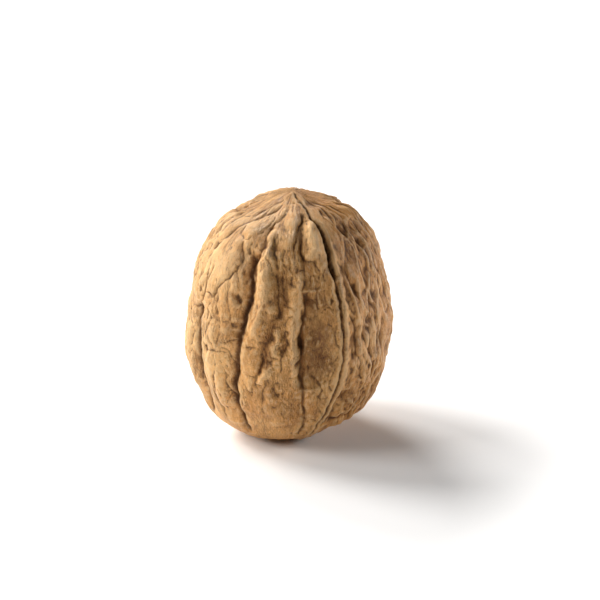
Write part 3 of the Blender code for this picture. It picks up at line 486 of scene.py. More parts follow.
@dataclass(frozen=True)
class SoftNoise:
    """A smooth random field that is read at many points at once.

    Args:
        seed: what tells one field from another.
        slopes: how many slopes it draws, a power of 2.
        gain: what brings its values to about -1 to 1.
    """

    seed: int
    slopes: int = 256
    gain: float = 1.6

    def at(self, points: np.ndarray) -> np.ndarray:
        """The field at points, mostly between -1 and 1.

        Args:
            points: rows of three values; the field changes over about 1.

        Returns:
            A value for each row.
        """
        chance = np.random.default_rng(self.seed)
        order, last = chance.permutation(self.slopes), self.slopes - 1
        slopes = chance.normal(size=(self.slopes, 3))
        slopes /= np.linalg.norm(slopes, axis=1)[:, None]
        cell = np.floor(points).astype(int)
        part = points - cell
        ease = part**3 * (part * (part * 6 - 15) + 10)
        total = np.zeros(len(points))
        for corner in np.ndindex(2, 2, 2):
            x, y, z = ((cell + corner) & last).T
            slope = slopes[order[(order[(order[x] + y) & last] + z) & last]]
            weight = np.where(corner, ease, 1 - ease).prod(axis=1)
            total += weight * (slope * (part - corner)).sum(axis=1)
        return total * self.gain

    def bend(self, points: np.ndarray) -> np.ndarray:
        """Three fields side by side, to move points with."""
        return np.stack([SoftNoise(self.seed + number).at(points) for number in (1, 2, 3)], -1)


def soft_step(value: np.ndarray, low: float, high: float) -> np.ndarray:
    """A soft climb from 0 where the value is low to 1 where it is high."""
    share = np.clip((value - low) / (high - low), 0, 1)
    return share * share * (3 - 2 * share)


def bell(distance: np.ndarray, reach: float) -> np.ndarray:
    """A round bump, 1 at distance 0 and nearly gone at two reaches."""
    return np.exp(-((distance / reach) ** 2))


def squeezed(point: Sequence[float], across: float, along: float) -> Vector:
    """A point measured in cells, which are as wide as across and as long as along."""
    return Vector((point[0] / across, point[1] / across, point[2] / along))


@dataclass(frozen=True)
class SutureForm:
    """How the suture is shaped.

    Args:
        depth: how deep its crack is.
        reach: how far each side of the crack reaches.
        dark: half the width of the painted shade along its crack.
        rim: how far both halves rise along it.
        rim_reach: half the width of that rise.
        lip: the rise of the lip left of the crack, its distance from the crack and half its width.
        opening: the rise and the reach of the stretch where the suture stands open.
        opening_dark: how dark the painted shade of that stretch is for each millimetre of depth.
        counts_to: how far from the crack all this still counts.
    """

    depth: float = 0.75
    reach: float = 0.24
    dark: float = 0.26
    rim: float = 0.28
    rim_reach: float = 1.5
    lip: tuple[float, float, float] = (0.16, 0.62, 0.3)
    opening: tuple[float, float] = (-0.85, 0.52)
    opening_dark: float = 1.5
    counts_to: float = 5.0


@dataclass(frozen=True)
class RuleForm:
    """How the rule shapes what isn't traced. Pairs of the furrows are the ends of a range that it draws from.

    Args:
        seed: the seed of its furrows.
        offset: where in the noise it reads.
        traced: the azimuths between which the relief is traced, and not made by the rule.
        blend: the width of the change between the two, in degrees.
        bend_size: how long the bends of its patterns are.
        lumps: the rise and the size of the soft lumps, broad and small.
        net: the width and the length of a cell of its creases, and how far the cells are bent.
        net_crease: how deep those creases are, and their reach in cells.
        swells: the width, the length and the rise of the swellings among them.
        pits: the width and the length of a pit of the right half, and how far the pits are bent.
        pit_rim: the rise of a pit's rim, its reach in cells, and how far all is sunk.
        furrows: the azimuths where its long furrows start.
        top: the height of the highest start.
        below_top: how far below it a furrow starts.
        lowest: where a furrow ends.
        sway: how far a furrow turns at each step, in degrees.
        sway_kept: which share of the last turn it keeps.
        step: how long a step is.
        depth: how deep a furrow is.
        valley: which share of that its round valley takes.
        reach: how far a side of the valley reaches.
        branches: which share of the places sends out a branch.
        branch: which share of the depth a branch has.
        branch_start: how far the branch's middle is from the furrow, in degrees and downwards.
        branch_end: how far its end is from its middle.
        branch_lowest: how low it may end.
    """

    seed: int = 11
    offset: Vector = field(default_factory=lambda: Vector((31.7, 12.9, 47.3)))
    traced: tuple[float, float] = (-82.0, 84.0)
    blend: float = 14.0
    bend_size: float = 5.0
    lumps: tuple[tuple[float, float], ...] = ((0.15, 3.6), (0.07, 1.5))
    net: tuple[float, float, float] = (5.4, 12.0, 0.32)
    net_crease: tuple[float, float] = (0.42, 0.11)
    swells: tuple[float, float, float] = (4.0, 11.0, 0.30)
    pits: tuple[float, float, float] = (2.5, 6.4, 0.5)
    pit_rim: tuple[float, float, float] = (0.34, 0.26, 0.12)
    furrows: tuple[float, ...] = (-96, -113, -130, -147, -166, 174, 158, 134, 120, 109)
    top: float = 41.0
    below_top: tuple[float, float] = (0, 2.5)
    lowest: tuple[float, float] = (2.5, 6.0)
    sway: tuple[float, float] = (-2.6, 2.6)
    sway_kept: float = 0.55
    step: tuple[float, float] = (1.5, 2.6)
    depth: tuple[float, float] = (0.45, 0.95)
    valley: float = 0.7
    reach: tuple[float, float] = (0.9, 2.2)
    branches: float = 0.5
    branch: float = 0.55
    branch_start: tuple[tuple[float, float], tuple[float, float]] = ((2.5, 4.5), (0.2, 2.2))
    branch_end: tuple[tuple[float, float], tuple[float, float]] = ((1.5, 4.5), (-0.6, 2.4))
    branch_lowest: float = 2.0


@dataclass(frozen=True)
class FoldForm:
    """How the shell crumples into small folds between its creases.

    Args:
        bend_seed: the seed of what bends the folds.
        bend_size: how long those bends are.
        bend: how far they reach.
        kinds: the seed, the width and the length of each kind of fold, and whether its tops are swollen.
        rises: the rise of each kind, and what it gains in a rougher patch.
        power: what swells the tops.
        level: the value of a swollen kind that is level with the body.
        patch_seed: the seed of the rougher patches.
        patch_size: how big those are.
        patch_range: the noise where a patch begins, and where it is full.
        base: how much the folds lose at the base.
        base_range: the heights over which they lose it.
        rim: the share that is left next to the suture, on its smooth right side and on its left.
        rim_range: how far from the suture the right side's folds begin and are full, and then the left's.
        tip: the radius at which the folds are full, and the share that is left at the tip.
    """

    bend_seed: int = 41
    bend_size: float = 3.1
    bend: float = 0.8
    kinds: tuple[tuple[int, float, float, bool], ...] = (
        (51, 2.8, 8.0, True), (61, 1.35, 2.8, True), (71, 0.5, 0.8, False),
    )
    rises: tuple[tuple[float, float], ...] = ((0.46, 0.0), (0.10, 0.17), (0.03, 0.05))
    power: float = 0.75
    level: float = 0.33
    patch_seed: int = 81
    patch_size: float = 6.0
    patch_range: tuple[float, float] = (-0.3, 0.4)
    base: float = 0.75
    base_range: tuple[float, float] = (5.0, 11.0)
    rim: tuple[float, float] = (0.3, 0.5)
    rim_range: tuple[tuple[float, float], tuple[float, float]] = ((1.2, 2.4), (0.0, 1.5))
    tip: tuple[float, float] = (11.0, 0.3)


@dataclass
class ShellRelief:
    """Everything that stands out of the plain body or is sunk into it.

    Args:
        body: the plain body.
        surface: its vertices.
        seam: how the suture is shaped.
        rule: how the rule shapes what isn't traced.
        fold: how the shell crumples.
        tip_rise: how far the pointed tip stands up.
        tip_reach: the tip's radius.
        right_from: the azimuths over which the right half begins.
        right_to: the azimuths over which it ends, on the back.
        flat_range: the heights over which noise grows from nothing at the flat.
        sharpness: what a crease's reach is multiplied by.
        shoulder: how far the swelling on each side of a crease reaches.
        cut: which shares of a crease's depth are its sharp bottom and its swollen sides.
        counts_to: how many reaches away a round line, a sharp one and a shoulder still count.
        broad_from: the least reach of a broad fold.
        ends: how long the fading ends of a line are, and those of a broad fold.
        end_power: how early a line fades in.
        full_crease: the depth at which a crease's painted shade is darkest.
        waver: how far lines waver, widely and finely.
        waver_sizes: how long those two kinds of waver are.
    """

    body: ShellBody
    surface: Surface
    seam: SutureForm = field(default_factory=SutureForm)
    rule: RuleForm = field(default_factory=RuleForm)
    fold: FoldForm = field(default_factory=FoldForm)
    tip_rise: float = 0.35
    tip_reach: float = 2.2
    right_from: tuple[float, float] = (34.0, 42.0)
    right_to: tuple[float, float] = (150.0, 165.0)
    flat_range: tuple[float, float] = (0.2, 2.5)
    sharpness: float = 0.52
    shoulder: float = 1.25
    cut: tuple[float, float] = (0.62, 0.42)
    counts_to: tuple[float, float, float] = (2.6, 5.0, 2.4)
    broad_from: float = 1.2
    ends: tuple[float, float] = (1.5, 2.6)
    end_power: float = 0.6
    full_crease: float = 0.75
    waver: tuple[float, float] = (0.34, 0.16)
    waver_sizes: tuple[float, float] = (2.4, 0.9)

    def __post_init__(self) -> None:
        """Bends the places that lines are measured from, and finds where the shell is rough or calm."""
        place = self.surface.place
        wide = SoftNoise(self.rule.seed).bend(place / self.waver_sizes[0])
        fine = SoftNoise(self.rule.seed + 10).bend(place / self.waver_sizes[1])
        self.bent = place + wide * self.waver[0] + fine * self.waver[1]
        self.rough = np.ones(len(place))
        for spot in CALM:
            self.rough *= 1 - self.spot(spot)

    def smooth_line(self, places: Sequence[Place], steps: int = 5) -> np.ndarray:
        """A soft curve through places, on the plain body.

        Args:
            places: what it passes.
            steps: how many points each stretch gets.

        Returns:
            The curve's points.
        """
        ends = np.array(places, float)
        padded = np.vstack([2 * ends[0] - ends[1], ends, 2 * ends[-1] - ends[-2]])
        share = np.linspace(0, 1, steps, endpoint=False)[:, None]
        pieces = []
        for before, start, end, after in zip(padded, padded[1:], padded[2:], padded[3:]):
            pieces.append(0.5 * (
                2 * start + (end - before) * share + (2 * before - 5 * start + 4 * end - after) * share**2
                + (3 * start - before - 3 * end + after) * share**3
            ))
        pieces.append(ends[-1:])
        curve = np.vstack(pieces)
        return self.body.point(curve[:, 0], np.clip(curve[:, 1], 0.05, self.body.height - 0.02))

    def distance(self, line: np.ndarray, reach: float) -> Nearby:
        """How the vertices near a line lie to it.

        Args:
            line: the line's points.
            reach: how near they have to be.

        Returns:
            The vertices' numbers, distances, shares along the line, and sides, positive on its right.
        """
        place, normal = self.bent, self.surface.normal
        low, high = line.min(axis=0) - reach, line.max(axis=0) + reach
        near = np.flatnonzero(((place > low) & (place < high)).all(axis=1))
        start, step = line[:-1], np.diff(line, axis=0)
        square = np.maximum((step**2).sum(axis=1), 1e-12)
        best = np.zeros(len(near), int)
        distance = np.full(len(near), np.inf)
        share = np.zeros(len(near))
        away = np.zeros((len(near), 3))
        for number in range(len(step)):
            offset = place[near] - start[number]
            part = np.clip(offset @ step[number] / square[number], 0, 1)
            offset -= part[:, None] * step[number]
            length = np.sqrt((offset**2).sum(axis=1))
            closer = length < distance
            distance[closer], share[closer], best[closer] = length[closer], part[closer], number
            away[closer] = offset[closer]
        side = (np.cross(step[best], away) * normal[near]).sum(axis=1)
        return near, distance, (best + share) / len(step), np.sign(side)

    def line(self, line: Line, form: Form, sharpness: float = 1.0) -> np.ndarray:
        """The rise of one line at every vertex.

        Args:
            line: the line.
            form: how its bottom or top is shaped.
            sharpness: what its reach is multiplied by.

        Returns:
            Rises in millimetres.
        """
        points = self.smooth_line(line.places)
        length = np.linalg.norm(np.diff(points, axis=0), axis=1).sum()
        left, right = line.left * sharpness, line.right * sharpness
        round_to, sharp_to, shoulder_to = self.counts_to
        widest = max(left, right) * (round_to if form is Form.ROUND else sharp_to)
        if form is Form.SWOLLEN:
            widest = max(widest, shoulder_to * self.shoulder)
        near, distance, share, side = self.distance(points, widest)
        reach = np.where(side > 0, right, left)
        shape = bell(distance, reach) if form is Form.ROUND else np.exp(-distance / reach)
        if form is Form.SWOLLEN:
            shape = self.cut[0] * shape + self.cut[1] * self.rough[near] * bell(distance, self.shoulder)
        broad = form is Form.ROUND and line.rise > 0 and min(line.left, line.right) >= self.broad_from
        end = min(0.5, self.ends[broad] / max(length, 0.1))
        fade = np.clip(np.minimum(share, 1 - share) / end, 0, 1) ** self.end_power
        if broad:
            fade = soft_step(fade, 0.0, 1.0)
        found = np.zeros(len(self.surface.place))
        found[near] = line.rise * shape * fade
        return found

    def spot(self, spot: Spot) -> np.ndarray:
        """The rise of one oval spot at every vertex.

        Args:
            spot: the spot.

        Returns:
            Rises in millimetres, or strengths for a patch of colour.
        """
        angle = math.radians(spot.azimuth)
        middle = self.body.point(spot.azimuth, np.array(spot.height))
        above, below = self.body.point(spot.azimuth, np.array([spot.height + 0.05, spot.height - 0.05]))
        upward = (above - below) / np.linalg.norm(above - below)
        sideways = np.array([math.cos(angle), math.sin(angle), 0.0])
        offset = self.surface.place - middle
        along, across = offset @ upward, offset @ sideways
        depth = offset - along[:, None] * upward - across[:, None] * sideways
        square = (along / spot.along) ** 2 + (across / spot.across) ** 2
        return spot.rise * np.exp(-square - ((depth**2).sum(axis=1) / (spot.across + spot.along) ** 2))

    def right_half(self) -> np.ndarray:
        """1 on the half of the shell right of the suture, and 0 on the other."""
        azimuth = self.surface.azimuth
        return np.maximum(soft_step(azimuth, *self.right_from), soft_step(-azimuth, *self.right_to))

    def by_rule(self) -> np.ndarray:
        """The relief of the rule: soft lumps, pits on the right half, and creases where none is traced.

        Returns:
            Rises in millimetres.
        """
        azimuth, height, grain = self.surface.azimuth, self.surface.height, self.surface.grain
        rule, seed = self.rule, self.rule.offset
        hidden = np.maximum(
            soft_step(-azimuth, -rule.traced[0], -rule.traced[0] + rule.blend),
            soft_step(azimuth, rule.traced[1], rule.traced[1] + rule.blend),
        )
        right = self.right_half()
        net_width, net_length, net_bend = rule.net
        net_depth, net_reach = rule.net_crease
        swell_width, swell_length, swell_rise = rule.swells
        pit_width, pit_length, pit_bend = rule.pits
        rim_rise, rim_reach, sunk = rule.pit_rim
        found = np.zeros(len(height))
        for number, point in enumerate(self.surface.place):
            here = Vector(point)
            bend = noise.noise_vector(here / rule.bend_size + seed)
            total = sum(rise * noise.noise(here / size + seed) for rise, size in rule.lumps)
            if hidden[number] > 0:
                cell = squeezed(here, net_width, net_length) + bend * net_bend
                first, second = noise.voronoi(cell + seed)[0][:2]
                swell = noise.noise(squeezed(here, swell_width, swell_length) - seed)
                total -= hidden[number] * net_depth * math.exp(-(second - first) / net_reach)
                total += hidden[number] * swell_rise * swell
            if right[number] > 0:
                cell = squeezed(grain[number], pit_width, pit_length) + bend * pit_bend
                first, second = noise.voronoi(cell + seed * 2)[0][:2]
                total += right[number] * (rim_rise * math.exp(-(((second - first) / rim_reach) ** 2)) - sunk)
            found[number] = total
        top = self.body.height
        return found * soft_step(height, *self.flat_range) * soft_step(-height, -top + 0.1, -top + 1.6)

    def rule_lines(self) -> tuple[list[Line], list[Line]]:
        """Long furrows with side branches, for the sides with no traced lines.

        Returns:
            The valleys, and the creases in them.
        """
        rule = self.rule
        chance = random.Random(rule.seed)
        valleys, creases = [], []
        for azimuth in rule.furrows:
            height, turn, places = rule.top - chance.uniform(*rule.below_top), 0.0, []
            lowest = chance.uniform(*rule.lowest)
            while height > lowest:
                places.append((azimuth, height))
                turn = rule.sway_kept * turn + chance.uniform(*rule.sway)
                azimuth += turn
                height -= chance.uniform(*rule.step)
            depth = chance.uniform(*rule.depth)
            left, right = chance.uniform(*rule.reach), chance.uniform(*rule.reach)
            valleys.append(Line(-rule.valley * depth, left, right, tuple(places)))
            creases.append(Line(-depth, 0.5, 0.5, tuple(places)))
            for start in places[2:-1]:
                if chance.random() < rule.branches:
                    way, branch = chance.choice((-1, 1)), [start]
                    for sideways, down in (rule.branch_start, rule.branch_end):
                        last_azimuth, last_height = branch[-1]
                        branch.append((
                            last_azimuth + way * chance.uniform(*sideways), last_height - chance.uniform(*down),
                        ))
                    if branch[-1][1] > rule.branch_lowest:
                        creases.append(Line(-rule.branch * depth, 0.4, 0.4, tuple(branch)))
        return valleys, creases

    def suture(self) -> tuple[np.ndarray, np.ndarray]:
        """The crack between the two halves, with the rim that both raise along it.

        Returns:
            Rises in millimetres, and the painted shade of the crack at every vertex.
        """
        seam = self.seam
        found = np.zeros(len(self.surface.place))
        dark = np.zeros(len(self.surface.place))
        lip_rise, lip_at, lip_reach = seam.lip
        for places in (SUTURE_FRONT, SUTURE_BACK):
            near, distance, _, side = self.distance(self.smooth_line(places), seam.counts_to)
            found[near] += seam.rim * bell(distance, seam.rim_reach)
            found[near] -= seam.depth * np.exp(-distance / seam.reach)
            found[near] += lip_rise * bell(distance - lip_at, lip_reach) * (side < 0)
            dark[near] = np.maximum(dark[near], bell(distance, seam.dark))
        rise, reach = seam.opening
        opening = self.line(Line(rise, reach, reach, SUTURE_OPEN), Form.ROUND)
        return found + opening, np.maximum(dark, -seam.opening_dark * opening)

    def lines(self, lines: Iterable[Line], form: Form) -> np.ndarray:
        """The deepest of the creases at every vertex, so that two that meet don't add up.

        Args:
            lines: the creases.
            form: how their bottoms are shaped.

        Returns:
            Rises in millimetres.
        """
        deepest = np.zeros(len(self.surface.place))
        for line in lines:
            deepest = np.minimum(deepest, self.line(line, form, self.sharpness))
        return deepest

    def crumpled(self) -> np.ndarray:
        """The small swollen folds between the creases, drawn out along the nut, weaker where it is smooth.

        Returns:
            Rises in millimetres.
        """
        place, height, fold = self.surface.place, self.surface.height, self.fold
        bent = self.surface.grain + SoftNoise(fold.bend_seed).bend(place / fold.bend_size) * fold.bend
        patch = soft_step(SoftNoise(fold.patch_seed).at(place / fold.patch_size), *fold.patch_range)
        total = np.zeros(len(place))
        for (seed, width, length, swollen), (rise, gain) in zip(fold.kinds, fold.rises):
            found = SoftNoise(seed).at(bent / (width, width, length))
            if swollen:
                found = np.abs(found) ** fold.power - fold.level
            total += (rise + gain * patch) * found
        low, high = fold.base_range
        smooth = 1 - fold.base * soft_step(-height, -high, -low)
        near, distance, _, side = self.distance(self.smooth_line(SUTURE_FRONT), 3.0)
        right, left = (
            share + (1 - share) * soft_step(distance, *reaches)
            for share, reaches in zip(fold.rim, fold.rim_range)
        )
        smooth[near] *= np.where(side > 0, right, left)
        radius, least = fold.tip
        smooth *= self.rough * np.clip(np.linalg.norm(place[:, :2], axis=1) / radius, least, 1)
        return total * smooth * soft_step(height, *self.flat_range)

    def build(self) -> tuple[np.ndarray, dict[str, np.ndarray]]:
        """Adds up the whole relief.

        Returns:
            Rises in millimetres, and what the finish reads at every vertex, by name.
        """
        valleys, creases = self.rule_lines()
        suture, crack = self.suture()
        total = self.by_rule() + self.crumpled() + suture
        for spot in LOBES + SPOTS:
            total += self.spot(spot)
        for line in VALLEYS + tuple(valleys):
            total += self.line(line, Form.ROUND)
        creased = np.minimum(
            self.lines(CREASES + tuple(creases), Form.SWOLLEN), self.lines(HAIRLINES, Form.SHARP),
        )
        from_axis = np.linalg.norm(self.surface.place[:, :2], axis=1)
        total += self.tip_rise * bell(from_axis, self.tip_reach) * (self.surface.height > self.body.widest_at)
        # Darker patches are partly stains and partly painted shade; paler ones are partly wear and partly
        # painted light.
        stain_and_shade, worn_and_lit = (np.max([np.zeros(len(total))] + [self.spot(spot) for spot in spots], axis=0)
                       for spots in (STAINS_AND_SHADE, WORN_AND_LIT))
        # The creases' depth and the suture's crack are kept for the finish to paint as shade.
        seen = {
            "crease": np.clip(np.maximum(-creased / self.full_crease, crack), 0, 1),
            "stain_and_shade": stain_and_shade,
            "worn_and_lit": worn_and_lit,
            "right_half": self.right_half(),
        }
        return total + creased, seen


class NodeTree:
    """A thin helper that adds nodes to a tree and joins them."""

    def __init__(self, tree: bpy.types.NodeTree) -> None:
        """Keeps the tree that the nodes go into."""
        self.tree = tree

    def add(self, kind: str, settings: dict | None = None, **inputs: object) -> bpy.types.Node:
        """Adds one node.

        Args:
            kind: the node's type.
            settings: properties of the node itself.
            inputs: values or sockets for its inputs, by name with _ for a space, or i0, i1 for their numbers.

        Returns:
            The node.
        """
        node = self.tree.nodes.new(kind)
        for name, value in (settings or {}).items():
            setattr(node, name, value)
        for name, value in inputs.items():
            numbered = name[0] == "i" and name[1:].isdigit()
            socket = node.inputs[int(name[1:])] if numbered else node.inputs[name.replace("_", " ")]
            self.feed(socket, value)
        return node

    def feed(self, socket: Socket, value: object) -> None:
        """Links a socket to an input, or sets the input's value.

        Args:
            socket: the input.
            value: an output socket, or a plain value.
        """
        if isinstance(value, Socket):
            self.tree.links.new(value, socket)
        else:
            socket.default_value = value

    def math(self, kind: str, first: object, second: object = 0.0, clamp: bool = False) -> Socket:
        """The output of a new Math node, held between 0 and 1 if clamp is set."""
        node = self.add("ShaderNodeMath", {"operation": kind, "use_clamp": clamp}, i0=first, i1=second)
        return node.outputs[0]

    def times(self, first: object, second: object) -> Socket:
        """The output of a new Math node that multiplies."""
        return self.math("MULTIPLY", first, second)

    def scaled(self, vector: object, by: tuple[float, float, float]) -> Socket:
        """The output of a new Vector Math node that multiplies a vector by three factors."""
        node = self.add("ShaderNodeVectorMath", {"operation": "MULTIPLY"}, i0=vector, i1=by)
        return node.outputs[0]

    def remap(self, value: object, low: float, high: float, start: float = 0.0, end: float = 1.0) -> Socket:
        """Adds a clamped, soft Map Range node.

        Args:
            value: what is mapped.
            low: the value that gives start.
            high: the value that gives end.
            start: the first end of the results.
            end: the other end.

        Returns:
            Its output.
        """
        node = self.add("ShaderNodeMapRange", {"interpolation_type": "SMOOTHSTEP"}, Value=value)
        for name, number in (("From Min", low), ("From Max", high), ("To Min", start), ("To Max", end)):
            node.inputs[name].default_value = number
        return node.outputs["Result"]

    def mix(self, share: object, first: object, second: object, blend: str = "MIX") -> Socket:
        """Adds a Mix node for colours.

        Args:
            share: how much of the second colour goes in.
            first: the first colour.
            second: the second colour.
            blend: how they are blended.

        Returns:
            The mixed colour.
        """
        node = self.add("ShaderNodeMix", {"data_type": "RGBA", "blend_type": blend})
        self.feed(node.inputs[0], share)
        for number, colour in ((6, first), (7, second)):
            self.feed(node.inputs[number], colour if isinstance(colour, Socket) else (*colour, 1.0))
        return node.outputs[2]


@dataclass(frozen=True)
class SkinNodes:
    """The node tree that puts fibres, wrinkles and pores on the shell.

    Args:
        fibre_height: how far the fibres stand up.
        fibre_width: how wide one is.
        wrinkle_height: how far the small wrinkles stand up.
        wrinkle_size: how wide one is.
        pore_depth: how deep the pores are.
        pore_spacing: how far apart they are.
        seed: the seed of all three.
    """

    fibre_height: float = 0.10
    fibre_width: float = 0.75
    wrinkle_height: float = 0.12
    wrinkle_size: float = 1.1
    pore_depth: float = 0.16
    pore_spacing: float = 1.5
    seed: float = 3.0

    def inputs(self) -> dict[str, float]:
        """The tree's inputs by name, with heights and depths in metres and widths in millimetres."""
        return {
            "Fibre Height": self.fibre_height * METRES,
            "Fibre Width": self.fibre_width,
            "Wrinkle Height": self.wrinkle_height * METRES,
            "Wrinkle Size": self.wrinkle_size,
            "Pore Depth": self.pore_depth * METRES,
            "Pore Spacing": self.pore_spacing,
            "Seed": self.seed,
        }

    def tree(self) -> bpy.types.NodeTree:
        """Builds the tree.

        Returns:
            The tree, with the shell's mesh, the inputs and the material as its sockets.
        """
        tree = bpy.data.node_groups.new("shell_skin", "GeometryNodeTree")
        tree.interface.new_socket("Geometry", in_out="INPUT", socket_type="NodeSocketGeometry")
        tree.interface.new_socket("Geometry", in_out="OUTPUT", socket_type="NodeSocketGeometry")
        for name in self.inputs():
            tree.interface.new_socket(name, in_out="INPUT", socket_type="NodeSocketFloat")
        tree.interface.new_socket("Material", in_out="INPUT", socket_type="NodeSocketMaterial")
        build = NodeTree(tree)
        given = build.add("NodeGroupInput").outputs
        seed = given["Seed"]
        grain, half = (
            build.add("GeometryNodeInputNamedAttribute", {"data_type": kind}, Name=name).outputs[0]
            for kind, name in (("FLOAT_VECTOR", "grain"), ("FLOAT", "right_half"))
        )

        def cells(along: float, size: str) -> Socket:
            """The grain, measured in cells.

            Args:
                along: the width of a cell as a share of its length.
                size: the input that gives its width.

            Returns:
                The measured grain.
            """
            narrowed = build.scaled(grain, (1.0, 1.0, along))
            node = build.add("ShaderNodeVectorMath", {"operation": "SCALE"}, i0=narrowed)
            build.feed(node.inputs["Scale"], build.math("DIVIDE", 1.0, given[size]))
            return node.outputs[0]

        def uneven(vector: object, number: object, detail: float, rough: float, bend: float) -> Socket:
            """A noise around 0.

            Args:
                vector: where it is read.
                number: its seed.
                detail: how many finer layers it has.
                rough: how strong they are.
                bend: how far it is distorted.

            Returns:
                Its value.
            """
            node = build.add(
                "ShaderNodeTexNoise", {"noise_dimensions": "4D"}, Vector=vector, W=number, Scale=1.0,
                Detail=detail, Roughness=rough, Distortion=bend,
            )
            return build.math("SUBTRACT", node.outputs[0], 0.5)

        strength = build.math("ADD", build.times(half, 0.9), 0.6)
        strings = uneven(cells(0.16, "Fibre Width"), seed, 2.0, 0.55, 0.3)
        strung = build.times(strings, build.times(given["Fibre Height"], strength))
        crumples = uneven(cells(0.6, "Wrinkle Size"), build.math("ADD", seed, 7.0), 3.0, 0.6, 0.6)
        wrinkled = build.times(crumples, given["Wrinkle Height"])
        spread = build.add(
            "ShaderNodeTexVoronoi", {"voronoi_dimensions": "4D"}, Vector=cells(0.5, "Pore Spacing"),
            W=seed, Scale=1.0,
        ).outputs
        chance = build.add("ShaderNodeSeparateXYZ", Vector=spread["Color"]).outputs[0]
        chosen = build.remap(chance, 0.45, 0.75)
        pore = build.times(build.remap(spread["Distance"], 0.30, 0.05), chosen)
        sunk = build.times(pore, build.times(given["Pore Depth"], -1.0))
        rise = build.math("ADD", build.math("ADD", strung, wrinkled), sunk)
        normal = build.add("GeometryNodeInputNormal").outputs[0]
        offset = build.add("ShaderNodeVectorMath", {"operation": "SCALE"}, i0=normal)
        build.feed(offset.inputs["Scale"], rise)
        moved = build.add("GeometryNodeSetPosition", Geometry=given["Geometry"], Offset=offset.outputs[0])
        kept = build.add(
            "GeometryNodeStoreNamedAttribute", {"data_type": "FLOAT", "domain": "POINT"},
            Geometry=moved.outputs[0], Name="pore", Value=pore,
        )
        real = build.add("GeometryNodeRealizeInstances", Geometry=kept.outputs[0])
        coated = build.add("GeometryNodeSetMaterial", Geometry=real.outputs[0], Material=given["Material"])
        build.add("NodeGroupOutput", Geometry=coated.outputs[0])
        return tree

    def apply(self, carrier: bpy.types.Object, material: bpy.types.Material) -> bpy.types.Mesh:
        """Runs the tree on an object.

        Args:
            carrier: the object, which loses the modifier again.
            material: the finish.

        Returns:
            The resulting plain mesh.
        """
        tree = self.tree()
        modifier = carrier.modifiers.new("skin", "NODES")
        modifier.node_group = tree
        named = {item.name: item.identifier for item in tree.interface.items_tree if item.in_out == "INPUT"}
        for name, value in self.inputs().items():
            modifier[named[name]] = value
        modifier[named["Material"]] = material
        carrier.update_tag()
        return taken_off(carrier, modifier)


